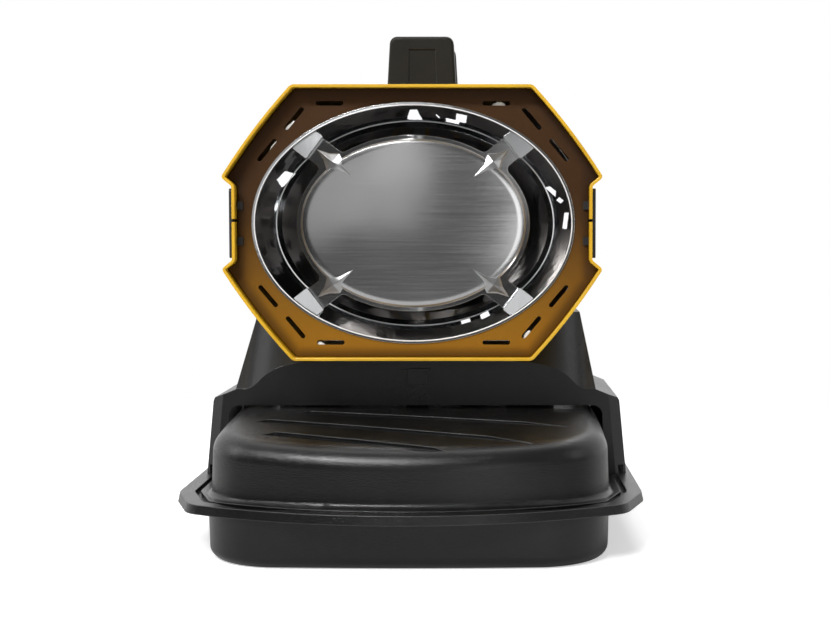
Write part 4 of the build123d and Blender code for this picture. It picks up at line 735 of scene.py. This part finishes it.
# %% Marks and figures on the rear cover
cover_face, mark_ring, figure_ring = 0.15005, 0.0195, 0.0248
knob_x, controls_z, switch_x, switch_step = -0.062, 0.158, 0.048, 0.0145
first_mark, mark_step, mark_count = -135, 27, 11
long_mark, short_mark, mark_wide, mark_thick = 0.0032, 0.002, 0.0006, 0.00025
figure_tall, switch_tall, figure_thick = 0.0052, 0.0055, 0.00012
facing_back = Matrix.Rotation(math.radians(180), 4, "Z") @ Matrix.Rotation(math.radians(90), 4, "X")


def round_knob(step, reach):
    """A point on a ring round the knob, seen from behind and clockwise from the first mark."""
    angle = math.radians(first_mark + mark_step * step)
    return Vector((knob_x - reach * math.sin(angle), cover_face, controls_z + reach * math.cos(angle)))


marks = []
for step in range(mark_count):
    along_spoke = Matrix.Rotation(math.radians(90 - first_mark - mark_step * step), 4, "Z")
    turn = Matrix.Translation(round_knob(step, mark_ring)) @ facing_back @ along_spoke
    marks.append((turn, (long_mark if step % 2 == 0 else short_mark, mark_wide, mark_thick)))
mark_points, mark_faces = bars(marks)
small_piece("knob_marks", mark_points, mark_faces, "dial_white")


def figure(name, words, where, tall):
    """A raised figure on the cover, centred on a point."""
    letters = bpy.data.curves.new(name, "FONT")
    letters.body, letters.size, letters.extrude = words, tall, figure_thick
    letters.align_x, letters.align_y = "CENTER", "CENTER"
    letters.materials.append(finishes["dial_white"])
    made = bpy.data.objects.new(name, letters)
    made.matrix_world = Matrix.Translation(where) @ facing_back
    bpy.context.scene.collection.objects.link(made)
    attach(made, "chassis")


for step in range(0, mark_count, 2):
    figure(f"knob_figure_{step // 2}", str(step // 2), round_knob(step, figure_ring), figure_tall)
figure("switch_on", "I", (switch_x, cover_face, controls_z + switch_step), switch_tall)
figure("switch_off", "O", (switch_x, cover_face, controls_z - switch_step), switch_tall)
print("marks:", len(marks))

# %% [markdown]
# The little display in the dark window shows a number made of seven bars. The heater is off, so the bars are
# only a shade of dull red and don't glow. They lie on the window's face. Two figures are enough, and each is a
# choice of bars from the same seven.

# %% Display bars
bar_long, bar_wide, bar_thick, bar_share, figure_step = 0.0042, 0.0009, 0.0001, 0.85, 0.0085
window_x, window_face = -0.005, 0.1515
seven = {"a": (0, 2, 0), "b": (1, 1, 1), "c": (1, -1, 1), "d": (0, -2, 0), "e": (-1, -1, 1), "f": (-1, 1, 1),
         "g": (0, 0, 0)}
lit = []
for place_number, shape_of in enumerate(("abged", "abcdef")):
    for letter in shape_of:
        across, up, upright = seven[letter]
        spot_x = window_x + (0.5 - place_number) * figure_step - across * bar_long / 2
        where = Matrix.Translation((spot_x, window_face, controls_z + up * bar_long / 2)) @ facing_back
        turn = Matrix.Rotation(math.radians(90) * upright, 4, "Z")
        lit.append((where @ turn, (bar_long * bar_share, bar_wide, bar_thick)))
lit_points, lit_faces = bars(lit)
small_piece("display_bars", lit_points, lit_faces, "needle_red")
print("bars lit:", len(lit))

# %% [markdown]
# The fuel gauge lies flat on the tank. Its body's white floor is the dial, and it carries a half ring of thin
# raised marks. The first of them, where the tank is nearly empty, are red.

# %% Gauge dial
gauge_middle, gauge_ring, gauge_step = Vector((-0.128, 0.196, 0.12515)), 0.0195, 22.5
long_line, short_line, line_wide, line_thick = 0.0045, 0.0026, 0.0008, 0.0002
gauge_marks, low_marks = [], []
for step in range(9):
    angle = math.radians(gauge_step * step)
    where = gauge_middle + gauge_ring * Vector((math.cos(angle), math.sin(angle), 0))
    turn = Matrix.Translation(where) @ Matrix.Rotation(angle, 4, "Z")
    size = (long_line if step % 2 == 0 else short_line, line_wide, line_thick)
    (low_marks if step < 2 else gauge_marks).append((turn, size))
for name, rows, paint_name in (("gauge_marks", gauge_marks, "gloss_black"),
                               ("gauge_low_marks", low_marks, "needle_red")):
    ring_points, ring_faces = bars(rows)
    small_piece(name, ring_points, ring_faces, paint_name)
print("gauge marks:", len(gauge_marks) + len(low_marks))

# %% [markdown]
# Between the arch of the housing and the tank sits a dark strip, finished like sealing rubber. It is put
# there for shade: it sits well inside, and only closes the gap against the light from behind, so that the
# arch stays dark.

# %% Dark strip for shade under the arch
# A dark strip put in the gap for shade under the arch.
shade_strip_at, shade_strip_size = (0.174, 0.132, 0.1325), (0.044, 0.006, 0.014)
arch_shade = [(Matrix.Translation((side * shade_strip_at[0], shade_strip_at[1], shade_strip_at[2])), shade_strip_size) for side in (-1, 1)]
shade_strip_points, shade_strip_faces = bars(arch_shade)
small_piece("arch_shade_strip", shade_strip_points, shade_strip_faces, "sealing_rubber")
print("foam strips:", len(arch_shade))

# %% [markdown]
# The floor belongs to the studio and not to the heater. It is a round sheet of white paper, which keeps the
# heater's soft shadow. Metal and glass show it too, but as a paler grey than the camera sees: mirrored at full
# white it would turn the black mouldings grey.

# %% Floor
paper_radius, paper_sides = 1.22, 96
rim = []
for k in range(paper_sides):
    turn = math.tau * k / paper_sides
    rim.append((paper_radius * math.cos(turn), paper_radius * math.sin(turn), 0))
floor_mesh = bpy.data.meshes.new("studio_floor")
floor_mesh.from_pydata(rim, [], [tuple(range(paper_sides))])
floor = bpy.data.objects.new("studio_floor", floor_mesh)
bpy.context.scene.collection.objects.link(floor)
paper = bpy.data.materials.new("studio_paper")
paper.use_nodes = True
tree = paper.node_tree
shader = tree.nodes["Principled BSDF"]
shader.inputs["Roughness"].default_value = 0.9
shader.inputs["Specular IOR Level"].default_value = 0.0
shader.inputs["Emission Color"].default_value = (1, 1, 1, 1)
path = add(tree, "ShaderNodeLightPath")
mirrored = maths(tree, "MAXIMUM", path.outputs["Is Glossy Ray"], path.outputs["Is Transmission Ray"])
seen = maths(tree, "ADD", maths(tree, "MULTIPLY", path.outputs["Is Camera Ray"], 0.5),
             maths(tree, "MULTIPLY", mirrored, 0.06))
paper_tone = blend_colour(tree, mirrored, (0.9, 0.9, 0.9, 1), (0.52, 0.52, 0.52, 1))
join(tree, Emission_Strength=seen, Base_Color=paper_tone)
floor_mesh.materials.append(paper)
print("paper across:", 2 * paper_radius, "m")

# %% [markdown]
# The room is a sky that depends on direction. Behind the heater it is the white backdrop. In front it is a
# dark studio with a faint haze straight ahead, which is what polished steel shows as its dark tones. The light
# that reaches matt surfaces is one even grey from everywhere.

# %% Room
world = bpy.data.worlds.new("studio_room")
bpy.context.scene.world = world
world.use_nodes = True
tree = world.node_tree
background = tree.nodes["Background"]
direction = add(tree, "ShaderNodeTexCoord").outputs["Generated"]
parts = split(tree, direction)
ahead = spread(tree, parts["Y"], -0.25, 0.35)
upwards = spread(tree, parts["Z"], -0.1, 0.9)
dark_studio = blend_colour(tree, upwards, (0.04, 0.04, 0.04, 1), (0.2, 0.2, 0.2, 1))
haze = spread(tree, parts["Y"], -0.93, -0.985)
dark_studio = blend_colour(tree, haze, dark_studio, (0.13, 0.13, 0.13, 1))
mirror_room = blend_colour(tree, ahead, dark_studio, (1, 1, 1, 1))
path = add(tree, "ShaderNodeLightPath")
shiny = maths(tree, "MAXIMUM", path.outputs["Is Glossy Ray"], path.outputs["Is Transmission Ray"])
even = blend_colour(tree, shiny, (0.28, 0.28, 0.28, 1), mirror_room)
sky = blend_colour(tree, path.outputs["Is Camera Ray"], even, (1, 1, 1, 1))
tree.links.new(sky, background.inputs["Color"])
print("room:", world.name)

# %% [markdown]
# Eight soft boxes. The key stands above and to the left and draws the highlight along the tank's front edge. A
# long one overhead lights the top of the shell, weak ones lift the two sides, and one at the back keeps the
# guard and the controls out of the dark. The three behind the camera are there for the steel: the emitter shows
# them as its light fields.

# %% Soft boxes
def soft_box(name, place_at, aim, width, height, watts):
    """A rectangular lamp that looks at a point."""
    lamp = bpy.data.lights.new(name, "AREA")
    lamp.shape = "RECTANGLE"
    lamp.size, lamp.size_y, lamp.energy = width, height, watts
    made = bpy.data.objects.new(name, lamp)
    made.location = place_at
    made.rotation_mode = "QUATERNION"
    made.rotation_quaternion = (Vector(aim) - Vector(place_at)).to_track_quat("-Z", "Y")
    bpy.context.scene.collection.objects.link(made)


soft_box("key_box", (-0.75, -1.75, 1.75), (0, -0.1, 0.25), 1.2, 0.3, 46.0)
soft_box("side_box", (-1.9, -0.35, 1.2), (0, 0, 0.25), 0.6, 0.9, 9.0)
soft_box("fill_box", (1.8, -0.9, 1.0), (0, 0, 0.25), 0.8, 1.2, 4.0)
soft_box("top_box", (0.0, 0.3, 2.0), (0, 0.1, 0.3), 1.6, 1.0, 9.0)
soft_box("back_box", (0.4, 1.3, 2.2), (0, 0.1, 0.3), 1.0, 0.6, 16.0)
soft_box("left_window", (-0.58, -2.6, 0.56), (-0.58, 0, 0.56), 1.02, 0.6, 0.92)
soft_box("middle_window", (-0.23, -2.6, 0.95), (-0.23, 0, 0.95), 0.36, 0.8, 0.68)
soft_box("right_window", (0.93, -2.6, 0.4), (0.93, 0, 0.4), 0.72, 0.95, 4.2)
print("lamps:", len(bpy.data.lights))
